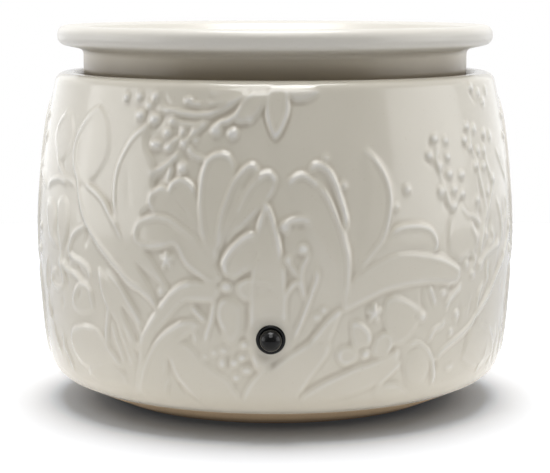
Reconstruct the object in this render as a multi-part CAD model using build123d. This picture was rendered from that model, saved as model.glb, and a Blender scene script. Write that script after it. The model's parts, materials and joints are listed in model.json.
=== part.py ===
"""Electric wax melt warmer: a squat glazed ceramic body with a loose melting dish on a hot plate.

The ceramic body stands on four rubber feet. Its top is open: a pressed aluminium hot plate hangs by its
flange on a ledge inside the mouth, and four pillars tie it to the steel base plate, so that hot plate,
body and base plate are clamped together. The heater is a flat element between mica sheets, held under
the hot plate by a welded stud. The dish has a flat base that stands on the hot plate, a straight neck
and a thick rolled rim, and it lifts straight off. A push button with a black domed cap is at the front,
low down, and a cord bushing is at the back.

Millimetres, +Z up, front at -Y. Heights are measured from the bottom of the unglazed foot ring. The
finished pieces are raised by foot_gap, so that the rubber feet stand on Z = 0.
"""

import math
import os

from build123d import *

# Ceramic body, outside
foot_gap = 0.8  # the rubber feet hold the foot ring this far off the table
foot_ring_radius = 41.7
foot_ring_width = 3.2
body_height = 85.1
belly_radius = 61.9
belly_height_share = 0.517  # of the body's height
heel_inset = 3.1  # corner between the sloping underside and the side, inwards from the belly
heel_height = 7.6
heel_round = 7.5
lip_inset = 5.0  # inwards from the belly
lip_round = 2.8
lip_inner_round = 1.2

# Ceramic body, inside
body_wall = 4.2
lip_width = 4.9
ledge_depth = 11.6  # the hot plate's flange hangs on this ledge below the lip
ledge_width = 3.0
ledge_thickness = 4.0
floor_thickness = 4.4
floor_ledge_width = 4.6  # ring of the floor that the base plate bears on
floor_corner_round = 5.0
base_recess_depth = 4.0

# Clearances
overrun = 1.0  # how far a cutting shape runs past the face that it cuts
screw_play = 0.05  # between a screw or stud and the threads round it
hole_play = 0.25  # between a barrel or shank and the hole that it passes through
running_play = 0.1  # between the button's cap and its bezel

# Melting dish
dish_gap = 2.0  # between its neck and the mouth of the body
dish_curve_radius = 16.0  # from the flat base up to the neck
neck_length = 4.4  # straight part of the neck
dish_wall = 3.6
dish_floor = 3.8
rim_overhang = 6.7
rim_thickness = 4.7
rim_round = 2.25
rim_underside_rise = 1.5  # the underside climbs this much from the neck to the edge
rim_dip = 0.7  # the top of the rim falls this much towards the bowl
rim_width = 5.0
rim_inner_round = 1.2
neck_fillet = 1.6
bowl_flare_round = 3.0

# Hot plate with its studs
plate_thickness = 1.2
plate_pan_depth = 5.0
plate_wall_gap = 0.5  # between the pan's wall and the ceramic ledge
flange_gap = 0.7  # between the flange's edge and the mouth of the body
pan_round = 1.6
gasket_thickness = 0.8
tie_stud_radius = 1.5
tie_stud_length = 5.0
centre_stud_radius = 2.0
stud_end_proud = 1.2

# Tie pillars
pillar_count = 4
pillar_first_angle = 45
pillar_flats = 6.0
pillar_inset = 4.9  # their axes, inwards from the hole in the floor
hexagon_sides = 6

# Heater stack under the hot plate
mica_inset = 5.5  # inwards from the pillars' circle
mica_thickness = 0.5
heater_inset = 2.0  # inwards from the mica's edge
heater_thickness = 0.9
heater_slot_width = 0.8
heater_slot_count = 9
outer_slot_share = 1 / 3  # a slot away from the centre reaches this far past it
heater_tab_width = 4.0
heater_tab_thickness = 0.6
heater_tab_gap = 3.5  # from the mica's edge to the outside of a tab
heater_tab_drop = 7.0
clamp_inset = 1.0  # inwards from the mica's edge
clamp_thickness = 1.2
centre_nut_flats = 7.0
centre_nut_height = 3.2
shield_spacer_radius = 3.4
shield_spacer_length = 9.0
shield_margin = 12.0  # outwards from the pillars' circle
shield_thickness = 0.6
shield_rim_height = 4.0
shield_hole_gap = 0.8
shield_lead_hole_radius = 2.6
switched_hole_shares = (0.845, -0.397)  # across and along, of the pillars' circle

# Thermal fuse and its clip
fuse_radius = 2.0
fuse_length = 10.0
fuse_wire_radius = 0.6
fuse_wire_length = 5.0
fuse_wire_bend = 3.0
fuse_place_share = 0.553  # of the mica's radius, in front of the centre
clip_thickness = 0.5
clip_length = 4.0
clip_foot = 2.5

# Base plate and feet
base_plate_thickness = 1.5
base_plate_gap = 0.4
base_screw_radius = 1.5
base_screw_length = 8.0
base_screw_head_radius = 2.9
base_screw_head_height = 1.8
cross_recess_width = 0.8
cross_recess_length = 3.2
cross_recess_depth = 1.0
foot_pad_count = 4
foot_pad_radius = 5.0
foot_pad_inset = 8.0  # their axes, inwards from the wall of the recess
foot_pad_round = 0.6

# Push button
button_height = 24.7
button_offset = -1.0
cap_radius = 2.65
cap_barrel_proud = 0.8  # straight part of the cap in front of the bezel
cap_body_length = 5.0
cap_travel = 1.5
stem_radius = 1.1
stem_reach = 2.0  # length of the stem inside the switch at rest
stem_end_gap = 0.5  # left in front of the stem when the cap is pressed home
bezel_radius = 3.5
bezel_proud = 0.6
bezel_round = 0.35
bezel_barrel_radius = 3.1
button_nut_flats = 9.0
button_nut_thickness = 2.5
button_seat_boss = 1.4  # the wall is this much thicker behind the button
button_boss_radius = 7.0
barrel_tail = 1.5  # thread left beyond a nut
switch_width = 9.5
switch_depth = 8.0
switch_length = 9.0
switch_round = 0.8
switch_tab_width = 2.8
switch_tab_thickness = 0.6
switch_tab_length = 5.0
switch_tab_spacing = 5.0
spring_radius = 1.95
spring_wire_radius = 0.2
spring_turns = 6
spring_end_gap = 0.02

# Cord bushing at the back
gland_height = 18.0
gland_bore_radius = 3.1
gland_barrel_radius = 4.4
gland_flange_radius = 5.6
gland_proud = 3.4
gland_round = 0.8
gland_nut_flats = 12.0
gland_nut_thickness = 3.0
gland_seat_boss = 2.0
gland_boss_radius = 8.5

# Terminal block
block_width = 22.0
block_depth = 9.0
block_height = 9.0
block_from_centre = 19.0
block_round = 0.8
port_radius = 1.4
port_height = 4.0
port_spacing = 13.0
terminal_screw_radius = 1.6
terminal_screw_sink = 0.6
screw_slot_width = 0.5
screw_slot_depth = 0.6
block_screw_radius = 1.25
block_screw_head_radius = 2.3
block_screw_head_height = 1.6
block_screw_sink = 5.0

# Leads and their connectors
lead_radius = 0.9
lead_bite = 2.5  # length of lead inside a connector
tab_bite = 4.5  # length of tab inside a connector
tab_play = 0.1
connector_wall = 0.9
connector_length = 8.0
connector_thickness = 3.0
connector_round = 0.6
crimp_radius = 1.6
crimp_length = 8.0
crimp_wire_bite = 3.0

# Routes of the leads: straight runs at their ends, and the points between two ends as shares of the
# way from one to the other across, along and up
port_run = 10.0
left_tab_run = 9.4
right_tab_run = 7.4
fuse_run = 7.5
shield_run = 6.9
mains_shares = [(-0.5, 0.25, 0.18), (-1.167, 0.5, 0.479), (-0.833, 0.75, 0.778)]
switched_lower_shares = [
    (0.152, 0.286, 0.15), (0.348, 0.514, 0.359), (0.565, 0.771, 0.568), (0.826, 0.971, 0.76),
]
switched_upper_shares = [(0.067, 0.467, 0.607)]
neutral_shares = [
    (0.198, 0.778, 0.104), (0.52, 1.222, 0.286), (0.817, 1.222, 0.506), (0.975, 1.089, 0.753),
]

# Sizes that follow from those above
recess_radius = foot_ring_radius - foot_ring_width
floor_hole_radius = recess_radius - floor_ledge_width
floor_top = base_recess_depth + floor_thickness
foot_pad_circle_radius = recess_radius - foot_pad_inset
heel_radius = belly_radius - heel_inset
belly_height = belly_height_share * body_height
lip_radius = belly_radius - lip_inset
opening_radius = lip_radius - lip_width
ledge_radius = opening_radius - ledge_width
ledge_height = body_height - ledge_depth
dish_neck_radius = opening_radius - dish_gap
dish_base_radius = dish_neck_radius - dish_curve_radius
dish_height = dish_curve_radius + neck_length + rim_underside_rise + rim_thickness
rim_radius = dish_neck_radius + rim_overhang
plate_top = ledge_height + gasket_thickness + plate_thickness - plate_pan_depth
plate_under = plate_top - plate_thickness
pan_outer_radius = ledge_radius - plate_wall_gap
flange_radius = opening_radius - flange_gap
base_plate_under = base_recess_depth - base_plate_thickness
pillar_circle_radius = floor_hole_radius - pillar_inset
mica_radius = pillar_circle_radius - mica_inset
heater_radius = mica_radius - heater_inset
heater_under = plate_under - mica_thickness - heater_thickness
heater_tab_reach = mica_radius + heater_tab_gap
heater_tab_x = heater_tab_reach - heater_tab_thickness / 2
heater_tab_end = heater_under + heater_tab_thickness - heater_tab_drop
clamp_radius = mica_radius - clamp_inset
clamp_under = heater_under - mica_thickness - clamp_thickness
shield_radius = pillar_circle_radius + shield_margin
shield_top = clamp_under - centre_nut_height - shield_spacer_length
shield_under = shield_top - shield_thickness
centre_stud_end = shield_under - centre_nut_height - stud_end_proud
switched_hole_x, switched_hole_y = (pillar_circle_radius * share for share in switched_hole_shares)
fuse_from_centre = fuse_place_share * mica_radius
fuse_z = clamp_under - fuse_radius
fuse_wire_end = fuse_length / 2 + fuse_wire_length
crimp_start = fuse_wire_end - crimp_wire_bite
cap_dome_centre = bezel_proud + cap_barrel_proud
cap_rear = cap_dome_centre - cap_body_length
button_nut_seat = body_wall + button_seat_boss
button_barrel_end = button_nut_seat + button_nut_thickness + barrel_tail
switch_end = button_barrel_end + switch_length
gland_nut_seat = body_wall + gland_seat_boss
gland_barrel_end = gland_nut_seat + gland_nut_thickness + barrel_tail


def circle_through(first, middle, last):
    """Centre and radius of the circle through three points of a half section."""
    (ax, ay), (bx, by), (cx, cy) = first, middle, last
    doubled_area = 2 * (ax * (by - cy) + bx * (cy - ay) + cx * (ay - by))
    a2, b2, c2 = ax**2 + ay**2, bx**2 + by**2, cx**2 + cy**2
    x = (a2 * (by - cy) + b2 * (cy - ay) + c2 * (ay - by)) / doubled_area
    y = (a2 * (cx - bx) + b2 * (ax - cx) + c2 * (bx - ax)) / doubled_area
    return x, y, math.hypot(ax - x, ay - y)


heel = (heel_radius, heel_height)
belly = (belly_radius, belly_height)
lip = (lip_radius, body_height)
side_x, side_z, side_arc_radius = circle_through(heel, belly, lip)


def side_radius(height, inset=0.0):
    """Radius of the body's side at a height, or of its inner wall if inset is the wall's thickness."""
    return side_x + math.sqrt((side_arc_radius - inset) ** 2 - (height - side_z) ** 2)


def seat_depth(height, radius):
    """Depth below the side at which a round seat of that radius is flat all over."""
    lowest = side_radius(height - radius)
    return side_radius(height) - math.sqrt(lowest**2 - radius**2)


def turned(outline, corners=()):
    """Solid turned about Z from the closed edges of a half section, its corners rounded first."""
    section = make_face(outline)
    for point, radius in corners:
        vertex = section.vertices().sort_by_distance(Vector(*point))[0]
        section = fillet(vertex, radius)
    return revolve(Plane.XZ * section, Axis.Z)


def disc(radius, height, base=0.0):
    """Round solid standing on base."""
    return Pos(0, 0, base) * extrude(Circle(radius), height)


def through_hole(radius, height, base=0.0):
    """Cutting cylinder for a hole through what stands on base, run past both faces."""
    return disc(radius, height + 2 * overrun, base - overrun)


def hole_from_above(radius, depth, mouth):
    """Cutting cylinder for a blind hole whose mouth is on top."""
    return disc(radius, depth + overrun, mouth - depth)


def hole_from_below(radius, depth, mouth):
    """Cutting cylinder for a blind hole whose mouth is underneath."""
    return disc(radius, depth + overrun, mouth - overrun)


def washer(outer, inner, height, base=0.0):
    """Flat ring or tube standing on base."""
    return disc(outer, height, base) - through_hole(inner, height, base)


def hexagon(flats, height, base=0.0):
    """Hexagonal solid standing on base."""
    section = RegularPolygon(flats / 2, hexagon_sides, major_radius=False)
    return Pos(0, 0, base) * extrude(section, height)


def hex_nut(flats, thread_radius, height, base):
    """Hexagonal nut standing on base."""
    return hexagon(flats, height, base) - through_hole(thread_radius + screw_play, height, base)


def rounded_box(width, depth, height, round_radius, base=0.0):
    """Box standing on base with its four upright edges rounded."""
    box = Pos(0, 0, base + height / 2) * Box(width, depth, height)
    return fillet(box.edges().filter_by(Axis.Z), round_radius)


def around(count, radius, first_angle=0):
    """Places on a circle about Z, one every equal turn."""
    return [Rot(0, 0, first_angle + 360 * n / count) * Pos(radius, 0, 0) for n in range(count)]


# The button's and the bushing's own frames: origin on the body's side, Z outwards, Y up.
front = Plane(
    origin=(button_offset, -side_radius(button_height), button_height),
    x_dir=(1, 0, 0),
    z_dir=(0, -1, 0),
)
back = Plane(
    origin=(0, side_radius(gland_height), gland_height), x_dir=(-1, 0, 0), z_dir=(0, 1, 0)
)
button_seat = seat_depth(button_height, bezel_radius)
gland_seat = seat_depth(gland_height, gland_flange_radius)


def pillar_places():
    """Axes of the four pillars."""
    return around(pillar_count, pillar_circle_radius, pillar_first_angle)


def pierce(shell, place, hole_radius, seat_radius, seat, boss_radius, boss_end):
    """The shell with a round hole through its wall, a flat seat outside and a flat boss inside."""
    shell += place * disc(boss_radius, boss_end - body_wall / 2, -boss_end)
    shell -= place * through_hole(hole_radius + hole_play, boss_end, -boss_end)
    return shell - place * disc(seat_radius + hole_play, seat + overrun, -seat)


def body_shell():
    """Ceramic body: foot ring, sloping unglazed underside, bellied side, open mouth with a ledge."""
    ledge_under = ledge_height - ledge_thickness
    slope_foot = ledge_under - (side_radius(ledge_under, body_wall) - ledge_radius)
    wall_top = (side_radius(slope_foot, body_wall), slope_foot)
    wall_middle = (side_radius(belly_height, body_wall), belly_height)
    wall_foot = (side_radius(floor_top, body_wall), floor_top)
    outline = [
        Line((foot_ring_radius, 0), heel),
        ThreePointArc(heel, belly, lip),
        Polyline(
            lip,
            (opening_radius, body_height),
            (opening_radius, ledge_height),
            (ledge_radius, ledge_height),
            (ledge_radius, ledge_under),
            wall_top,
        ),
        ThreePointArc(wall_top, wall_middle, wall_foot),
        Polyline(
            wall_foot,
            (floor_hole_radius, floor_top),
            (floor_hole_radius, base_recess_depth),
            (recess_radius, base_recess_depth),
            (recess_radius, 0),
            (foot_ring_radius, 0),
        ),
    ]
    corners = [
        (heel, heel_round),
        (lip, lip_round),
        ((opening_radius, body_height), lip_inner_round),
        (wall_foot, floor_corner_round),
    ]
    shell = turned(outline, corners)
    shell = pierce(
        shell, front, bezel_barrel_radius, bezel_radius, button_seat, button_boss_radius, button_nut_seat
    )
    return pierce(
        shell, back, gland_barrel_radius, gland_flange_radius, gland_seat, gland_boss_radius, gland_nut_seat
    )


def wax_dish():
    """Melting dish: flat base, round bowl, straight neck and a thick rolled rim that overhangs."""
    curve = dish_curve_radius
    rim_under = dish_height - rim_thickness
    neck_top = (dish_neck_radius, rim_under - rim_underside_rise)
    bowl_radius = dish_neck_radius - dish_wall
    bowl_curve = curve - dish_floor
    bowl_floor_radius = bowl_radius - bowl_curve
    rim_inner = (rim_radius - rim_width, dish_height - rim_dip)
    flare = (bowl_radius, rim_inner[1] - (rim_inner[0] - bowl_radius))
    outline = [
        Line((0, 0), (dish_base_radius, 0)),
        CenterArc((dish_base_radius, curve), curve, -90, 90),
        Polyline(
            (dish_neck_radius, curve),
            neck_top,
            (rim_radius, rim_under),
            (rim_radius, dish_height),
            (rim_radius - rim_width / 2, dish_height),
            rim_inner,
            flare,
            (bowl_radius, curve),
        ),
        CenterArc((bowl_floor_radius, curve), bowl_curve, 0, -90),
        Polyline((bowl_floor_radius, dish_floor), (0, dish_floor), (0, 0)),
    ]
    corners = [
        (neck_top, neck_fillet),
        ((rim_radius, rim_under), rim_round),
        ((rim_radius, dish_height), rim_round),
        (rim_inner, rim_inner_round),
        (flare, bowl_flare_round),
    ]
    return Pos(0, 0, plate_top) * turned(outline, corners)


def hot_plate():
    """Pressed pan with a flange that hangs on the ledge."""
    flange_under = ledge_height + gasket_thickness
    flange_top = flange_under + plate_thickness
    pan_inner_radius = pan_outer_radius - plate_thickness
    outline = Polyline(
        (0, plate_under),
        (pan_outer_radius, plate_under),
        (pan_outer_radius, flange_under),
        (flange_radius, flange_under),
        (flange_radius, flange_top),
        (pan_inner_radius, flange_top),
        (pan_inner_radius, plate_top),
        (0, plate_top),
        close=True,
    )
    return turned(outline, [((pan_outer_radius, plate_under), pan_round)])


def plate_studs():
    """Studs welded under the hot plate: one in the middle for the heater, and one for each pillar."""
    tie_stud = disc(tie_stud_radius, tie_stud_length, plate_under - tie_stud_length)
    centre_stud = disc(centre_stud_radius, plate_under - centre_stud_end, centre_stud_end)
    return [centre_stud] + [place * tie_stud for place in pillar_places()]


def plate_gasket():
    """Silicone ring between the hot plate's flange and the ceramic ledge."""
    return washer(flange_radius, ledge_radius, gasket_thickness, ledge_height)


def on_centre_stud(outer, height, base):
    """Washer or spacer with a clear hole for the centre stud."""
    return washer(outer, centre_stud_radius + hole_play, height, base)


def heater_element():
    """Flat meander element with a turned-down connection tab at each side."""
    element = on_centre_stud(heater_radius, heater_thickness, heater_under)
    pitch = 2 * heater_radius / (heater_slot_count + 1)
    for n in range(heater_slot_count):
        x = pitch * (n + 1) - heater_radius
        reach = math.sqrt(heater_radius**2 - x**2)
        near_centre = abs(x) < centre_stud_radius + pitch
        shift = reach * (1 if near_centre else outer_slot_share) * (1 if n % 2 else -1)
        slot = Box(heater_slot_width, 2 * reach, heater_thickness + 2 * overrun)
        element -= Pos(x, shift, heater_under + heater_thickness / 2) * slot
    arm_length = heater_tab_reach - heater_radius / 2
    arm = Box(arm_length, heater_tab_width, heater_tab_thickness)
    leg = Box(heater_tab_thickness, heater_tab_width, heater_tab_drop)
    for side in (-1, 1):
        arm_x = side * (heater_tab_reach - arm_length / 2)
        element += Pos(arm_x, 0, heater_under + heater_tab_thickness / 2) * arm
        element += Pos(side * heater_tab_x, 0, heater_tab_end + heater_tab_drop / 2) * leg
    return element


def centre_nut(top):
    """Hexagonal nut on the centre stud, its top at that height."""
    return hex_nut(centre_nut_flats, centre_stud_radius, centre_nut_height, top - centre_nut_height)


def heat_shield():
    """Shallow steel dish under the heater, with holes for the pillars and two leads."""
    rim_top = shield_under + shield_rim_height
    outline = Polyline(
        (0, shield_under),
        (shield_radius, shield_under),
        (shield_radius, rim_top),
        (shield_radius - shield_thickness, rim_top),
        (shield_radius - shield_thickness, shield_top),
        (0, shield_top),
        close=True,
    )
    shield = turned(outline)
    shield -= through_hole(centre_stud_radius + hole_play, shield_thickness, shield_under)
    pillar_corner_radius = pillar_flats / 2 / math.cos(math.pi / hexagon_sides)
    pillar_hole_radius = pillar_corner_radius + shield_hole_gap
    for place in pillar_places():
        shield -= place * through_hole(pillar_hole_radius, shield_thickness, shield_under)
    for x, y in ((heater_tab_x, 0), (switched_hole_x, switched_hole_y)):
        shield -= Pos(x, y, 0) * through_hole(shield_lead_hole_radius, shield_thickness, shield_under)
    return shield


def fuse_place():
    """Frame of the thermal fuse: its middle, with its Z along the row's X."""
    return Pos(0, -fuse_from_centre, fuse_z) * Rot(0, 90, 0)


def thermal_fuse():
    """Sleeved fuse: one wire goes to a crimp, the other is bent round and brazed to a heater tab."""
    body = disc(fuse_radius, fuse_length, -fuse_length / 2) + disc(fuse_wire_radius, fuse_wire_end)
    wire_x = -heater_tab_reach - fuse_wire_radius
    route = FilletPolyline(
        (-fuse_length / 4, -fuse_from_centre, fuse_z),
        (wire_x, -fuse_from_centre, fuse_z),
        (wire_x, heater_tab_width / 2, fuse_z),
        radius=fuse_wire_bend,
    )
    wire = sweep(Plane(route @ 0, z_dir=route % 0) * Circle(fuse_wire_radius), path=route)
    return fuse_place() * body + wire


def fuse_crimp():
    """Crimped sleeve that joins the fuse's wire to the switched lead."""
    end = crimp_start + crimp_length
    sleeve = disc(crimp_radius, crimp_length, crimp_start)
    sleeve -= hole_from_below(fuse_wire_radius + screw_play, crimp_length, crimp_start)
    return fuse_place() * (sleeve - hole_from_above(lead_radius + screw_play, lead_bite, end))


def fuse_clip():
    """Bent strap, spot-welded to the clamp plate by its two feet, that holds the fuse against it."""
    inner = fuse_radius + screw_play
    outer = inner + clip_thickness
    feet_width = 2 * (outer + clip_foot)
    strap = Pos(0, 0, fuse_z) * Rot(0, 90, 0) * disc(outer, clip_length, -clip_length / 2)
    strap += Pos(0, 0, clamp_under - fuse_radius / 2) * Box(clip_length, 2 * outer, fuse_radius)
    strap += Pos(0, 0, clamp_under - clip_thickness / 2) * Box(clip_length, feet_width, clip_thickness)
    strap -= Pos(0, 0, clamp_under + outer) * Box(clip_length, feet_width, 2 * outer)
    groove = Rot(0, 90, 0) * through_hole(inner, clip_length, -clip_length / 2)
    groove += Pos(0, 0, inner) * Box(clip_length + 2 * overrun, 2 * inner, 2 * inner)
    return Pos(0, -fuse_from_centre, 0) * (strap - Pos(0, 0, fuse_z) * groove)


def tie_pillars():
    """Four hexagonal pillars between the base plate and the hot plate, tapped at both ends."""
    pillar = hexagon(pillar_flats, plate_under - base_recess_depth, base_recess_depth)
    pillar -= hole_from_above(tie_stud_radius + screw_play, tie_stud_length + overrun, plate_under)
    pillar -= hole_from_below(base_screw_radius + screw_play, base_screw_length, base_recess_depth)
    return [place * pillar for place in pillar_places()]


def base_plate():
    """Steel disc in the recess of the foot ring, drilled for the pillars' screws and the block's."""
    plate = disc(recess_radius - base_plate_gap, base_plate_thickness, base_plate_under)
    screw_hole = through_hole(base_screw_radius + hole_play, base_plate_thickness, base_plate_under)
    for place in pillar_places():
        plate -= place * screw_hole
    block_hole = through_hole(block_screw_radius + screw_play, base_plate_thickness, base_plate_under)
    return plate - Pos(0, block_from_centre, 0) * block_hole


def base_screws():
    """Cross-head screws up through the base plate into the pillars."""
    head_under = base_plate_under - base_screw_head_height
    screw = disc(base_screw_head_radius, base_screw_head_height, head_under)
    screw = fillet(screw.edges().group_by(Axis.Z)[0], base_screw_head_height / 3)
    screw += disc(base_screw_radius, base_screw_head_height + base_screw_length, head_under)
    slot = Box(cross_recess_length, cross_recess_width, 2 * cross_recess_depth)
    for turn in (0, 90):
        screw -= Pos(0, 0, head_under) * Rot(0, 0, turn) * slot
    return [place * screw for place in pillar_places()]


def rubber_feet():
    """Four round pads stuck under the base plate, standing proud of the foot ring."""
    pad = disc(foot_pad_radius, base_plate_under + foot_gap, -foot_gap)
    pad = fillet(pad.edges().group_by(Axis.Z)[0], foot_pad_round)
    return [place * pad for place in around(foot_pad_count, foot_pad_circle_radius)]


def button_bezel():
    """Black ring on the glaze with a threaded barrel through the wall; the cap slides in its bore."""
    flange = disc(bezel_radius, button_seat + bezel_proud, -button_seat)
    flange = fillet(flange.edges().group_by(Axis.Z)[-1], bezel_round)
    barrel = disc(bezel_barrel_radius, button_barrel_end, -button_barrel_end)
    length = button_barrel_end + bezel_proud
    return front * (flange + barrel - through_hole(cap_radius + running_play, length, -button_barrel_end))


def button_cap():
    """Domed cap with its stem, which reaches into the switch."""
    stem_end = -button_barrel_end - stem_reach
    outline = [
        Polyline(
            (0, cap_dome_centre + cap_radius),
            (0, stem_end),
            (stem_radius, stem_end),
            (stem_radius, cap_rear),
            (cap_radius, cap_rear),
            (cap_radius, cap_dome_centre),
        ),
        CenterArc((0, cap_dome_centre), cap_radius, 0, 90),
    ]
    return front * turned(outline)


def button_spring():
    """Return spring round the stem, between the cap and the switch."""
    end_inset = spring_wire_radius + spring_end_gap
    height = cap_rear + button_barrel_end - 2 * end_inset
    coil = Helix(height / spring_turns, height, spring_radius)
    wire = sweep(Plane(coil @ 0, z_dir=coil % 0) * Circle(spring_wire_radius), path=coil, is_frenet=True)
    return front * Pos(0, 0, end_inset - button_barrel_end) * wire


def button_nut():
    """Hexagonal nut that holds the bezel against the wall from inside."""
    base = -button_nut_seat - button_nut_thickness
    return front * hex_nut(button_nut_flats, bezel_barrel_radius, button_nut_thickness, base)


def button_switch():
    """Switch body behind the bezel's barrel, bored for the stem."""
    body = rounded_box(switch_width, switch_depth, switch_length, switch_round, -switch_end)
    bore_depth = stem_reach + cap_travel + stem_end_gap
    return front * (body - hole_from_above(stem_radius + hole_play, bore_depth, -button_barrel_end))


def switch_tab_places():
    """Middles of the switch's two tabs, on its back face."""
    return [front * Pos(side * switch_tab_spacing / 2, 0, -switch_end) for side in (-1, 1)]


def switch_tabs():
    """Two brass tabs at the back of the switch."""
    tab = Pos(0, 0, -switch_tab_length / 2) * Box(
        switch_tab_thickness, switch_tab_width, switch_tab_length
    )
    return [place * tab for place in switch_tab_places()]


def push_on(tab_width, tab_thickness):
    """Insulated push-on connector: its tab slot opens at Z = 0 and its lead leaves along -Z."""
    width = tab_width + 2 * connector_wall
    sleeve = rounded_box(
        connector_thickness, width, connector_length, connector_round, -connector_length
    )
    sleeve -= Box(tab_thickness + 2 * tab_play, tab_width + 2 * tab_play, 2 * tab_bite)
    return sleeve - hole_from_below(lead_radius + screw_play, lead_bite, -connector_length)


def tab_connectors():
    """Connectors on the two tabs of the switch and on one tab of the heater."""
    on_switch = Pos(0, 0, tab_bite - switch_tab_length) * push_on(switch_tab_width, switch_tab_thickness)
    on_heater = Pos(heater_tab_x, 0, heater_tab_end + tab_bite) * push_on(
        heater_tab_width, heater_tab_thickness
    )
    return [place * on_switch for place in switch_tab_places()] + [on_heater]


def cord_bushing():
    """Nylon bushing with a flange outside and a threaded barrel through the wall."""
    flange = disc(gland_flange_radius, gland_seat + gland_proud, -gland_seat)
    flange = fillet(flange.edges().group_by(Axis.Z)[-1], gland_round)
    barrel = disc(gland_barrel_radius, gland_barrel_end, -gland_barrel_end)
    length = gland_barrel_end + gland_proud
    return back * (flange + barrel - through_hole(gland_bore_radius, length, -gland_barrel_end))


def bushing_nut():
    """Hexagonal nut that holds the bushing from inside."""
    base = -gland_nut_seat - gland_nut_thickness
    return back * hex_nut(gland_nut_flats, gland_barrel_radius, gland_nut_thickness, base)


def port_places():
    """Middles of the terminal block's two ports, on the base plate."""
    return [Pos(side * port_spacing / 2, block_from_centre, base_recess_depth) for side in (-1, 1)]


def terminal_block():
    """Nylon block with two wire ports, a clamping screw hole over each and a fixing hole between."""
    middle = Pos(0, block_from_centre, base_recess_depth)
    block = middle * rounded_box(block_width, block_depth, block_height, block_round)
    port = Pos(0, 0, port_height) * Rot(90, 0, 0) * through_hole(port_radius, block_depth, -block_depth / 2)
    screw_depth = block_height - port_height
    screw_hole = hole_from_above(terminal_screw_radius + screw_play, screw_depth, block_height)
    for place in port_places():
        block -= place * port
        block -= place * screw_hole
    block -= middle * through_hole(block_screw_radius + hole_play, block_height)
    return block - middle * hole_from_above(
        block_screw_head_radius + hole_play, block_screw_sink, block_height
    )


def slotted(screw, head_radius, top):
    """The screw with a driver's slot across its top."""
    return screw - Pos(0, 0, top) * Box(2 * head_radius + overrun, screw_slot_width, 2 * screw_slot_depth)


def terminal_screws():
    """Slotted brass screws that clamp the leads in their ports."""
    base = port_height + lead_radius
    top = block_height - terminal_screw_sink
    screw = slotted(disc(terminal_screw_radius, top - base, base), terminal_screw_radius, top)
    return [place * screw for place in port_places()]


def block_screw():
    """Slotted screw that fixes the terminal block to the base plate."""
    head_under = block_height - block_screw_sink
    top = head_under + block_screw_head_height
    screw = disc(block_screw_head_radius, block_screw_head_height, head_under)
    screw += disc(block_screw_radius, head_under + base_plate_thickness, -base_plate_thickness)
    return Pos(0, block_from_centre, base_recess_depth) * slotted(screw, block_screw_head_radius, top)


def lead(name, points):
    """Sleeved wire along straight runs joined by tangent arcs, each as large as its runs allow."""
    runs =[b - a for a, b in zip(points, points[1:])]
    radii = []
    for before, after in zip(runs, runs[1:]):
        half_turn = math.radians(before.get_angle(after)) / 2
        radii.append(0.45 * min(before.length, after.length) / math.tan(half_turn))
    path = FilletPolyline(*points, radius=radii)
    wire = sweep(Plane(path @ 0, z_dir=path % 0) * Circle(lead_radius), path=path)
    volume_share = wire.volume / (math.pi * lead_radius**2 * path.length)
    print(name, "length", round(path.length, 1), "volume share", round(volume_share, 3))
    print(name, "radii", [round(radius, 1) for radius in radii])
    return wire


def run_between(start, end, shares):
    """Both ends of a run of lead and the points between them, each by its shares of the way."""
    way = end - start
    between = [start + Vector(x * way.X, y * way.Y, z * way.Z) for x, y, z in shares]
    return [start] + between + [end]


def leads():
    """The three leads, each from inside one connection to inside the next."""
    lead_depth = connector_length - lead_bite
    to_switch = Pos(0, 0, tab_bite - switch_tab_length - lead_depth)
    left_tab, right_tab = [(place * to_switch).position for place in switch_tab_places()]
    left_port, right_port = [(place * Pos(0, 0, port_height)).position for place in port_places()]
    heater_end = Vector(heater_tab_x, 0, heater_tab_end + tab_bite - lead_depth)
    fuse_end = Vector(crimp_start + crimp_length - lead_bite, -fuse_from_centre, fuse_z)
    behind_left_tab = left_tab + Vector(0, left_tab_run, 0)
    behind_right_tab = right_tab + Vector(0, right_tab_run, 0)
    before_left_port = left_port - Vector(0, port_run, 0)
    before_right_port = right_port - Vector(0, port_run, 0)
    beside_fuse = fuse_end + Vector(fuse_run, 0, 0)
    under_heater_tab = Vector(heater_tab_x, 0, shield_under - shield_run)
    switched_hole = Vector(switched_hole_x, switched_hole_y, shield_under)
    mains_route = [left_port] + run_between(before_left_port, behind_left_tab, mains_shares) + [left_tab]
    switched_route = (
        [right_tab]
        + run_between(behind_right_tab, switched_hole, switched_lower_shares)
        + run_between(switched_hole, beside_fuse, switched_upper_shares)[1:]
        + [fuse_end]
    )
    neutral_route = (
        [right_port] + run_between(before_right_port, under_heater_tab, neutral_shares) + [heater_end]
    )
    return {
        "mains_lead": lead("mains_lead", mains_route),
        "switched_lead": lead("switched_lead", switched_route),
        "neutral_lead": lead("neutral_lead", neutral_route),
    }


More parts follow.
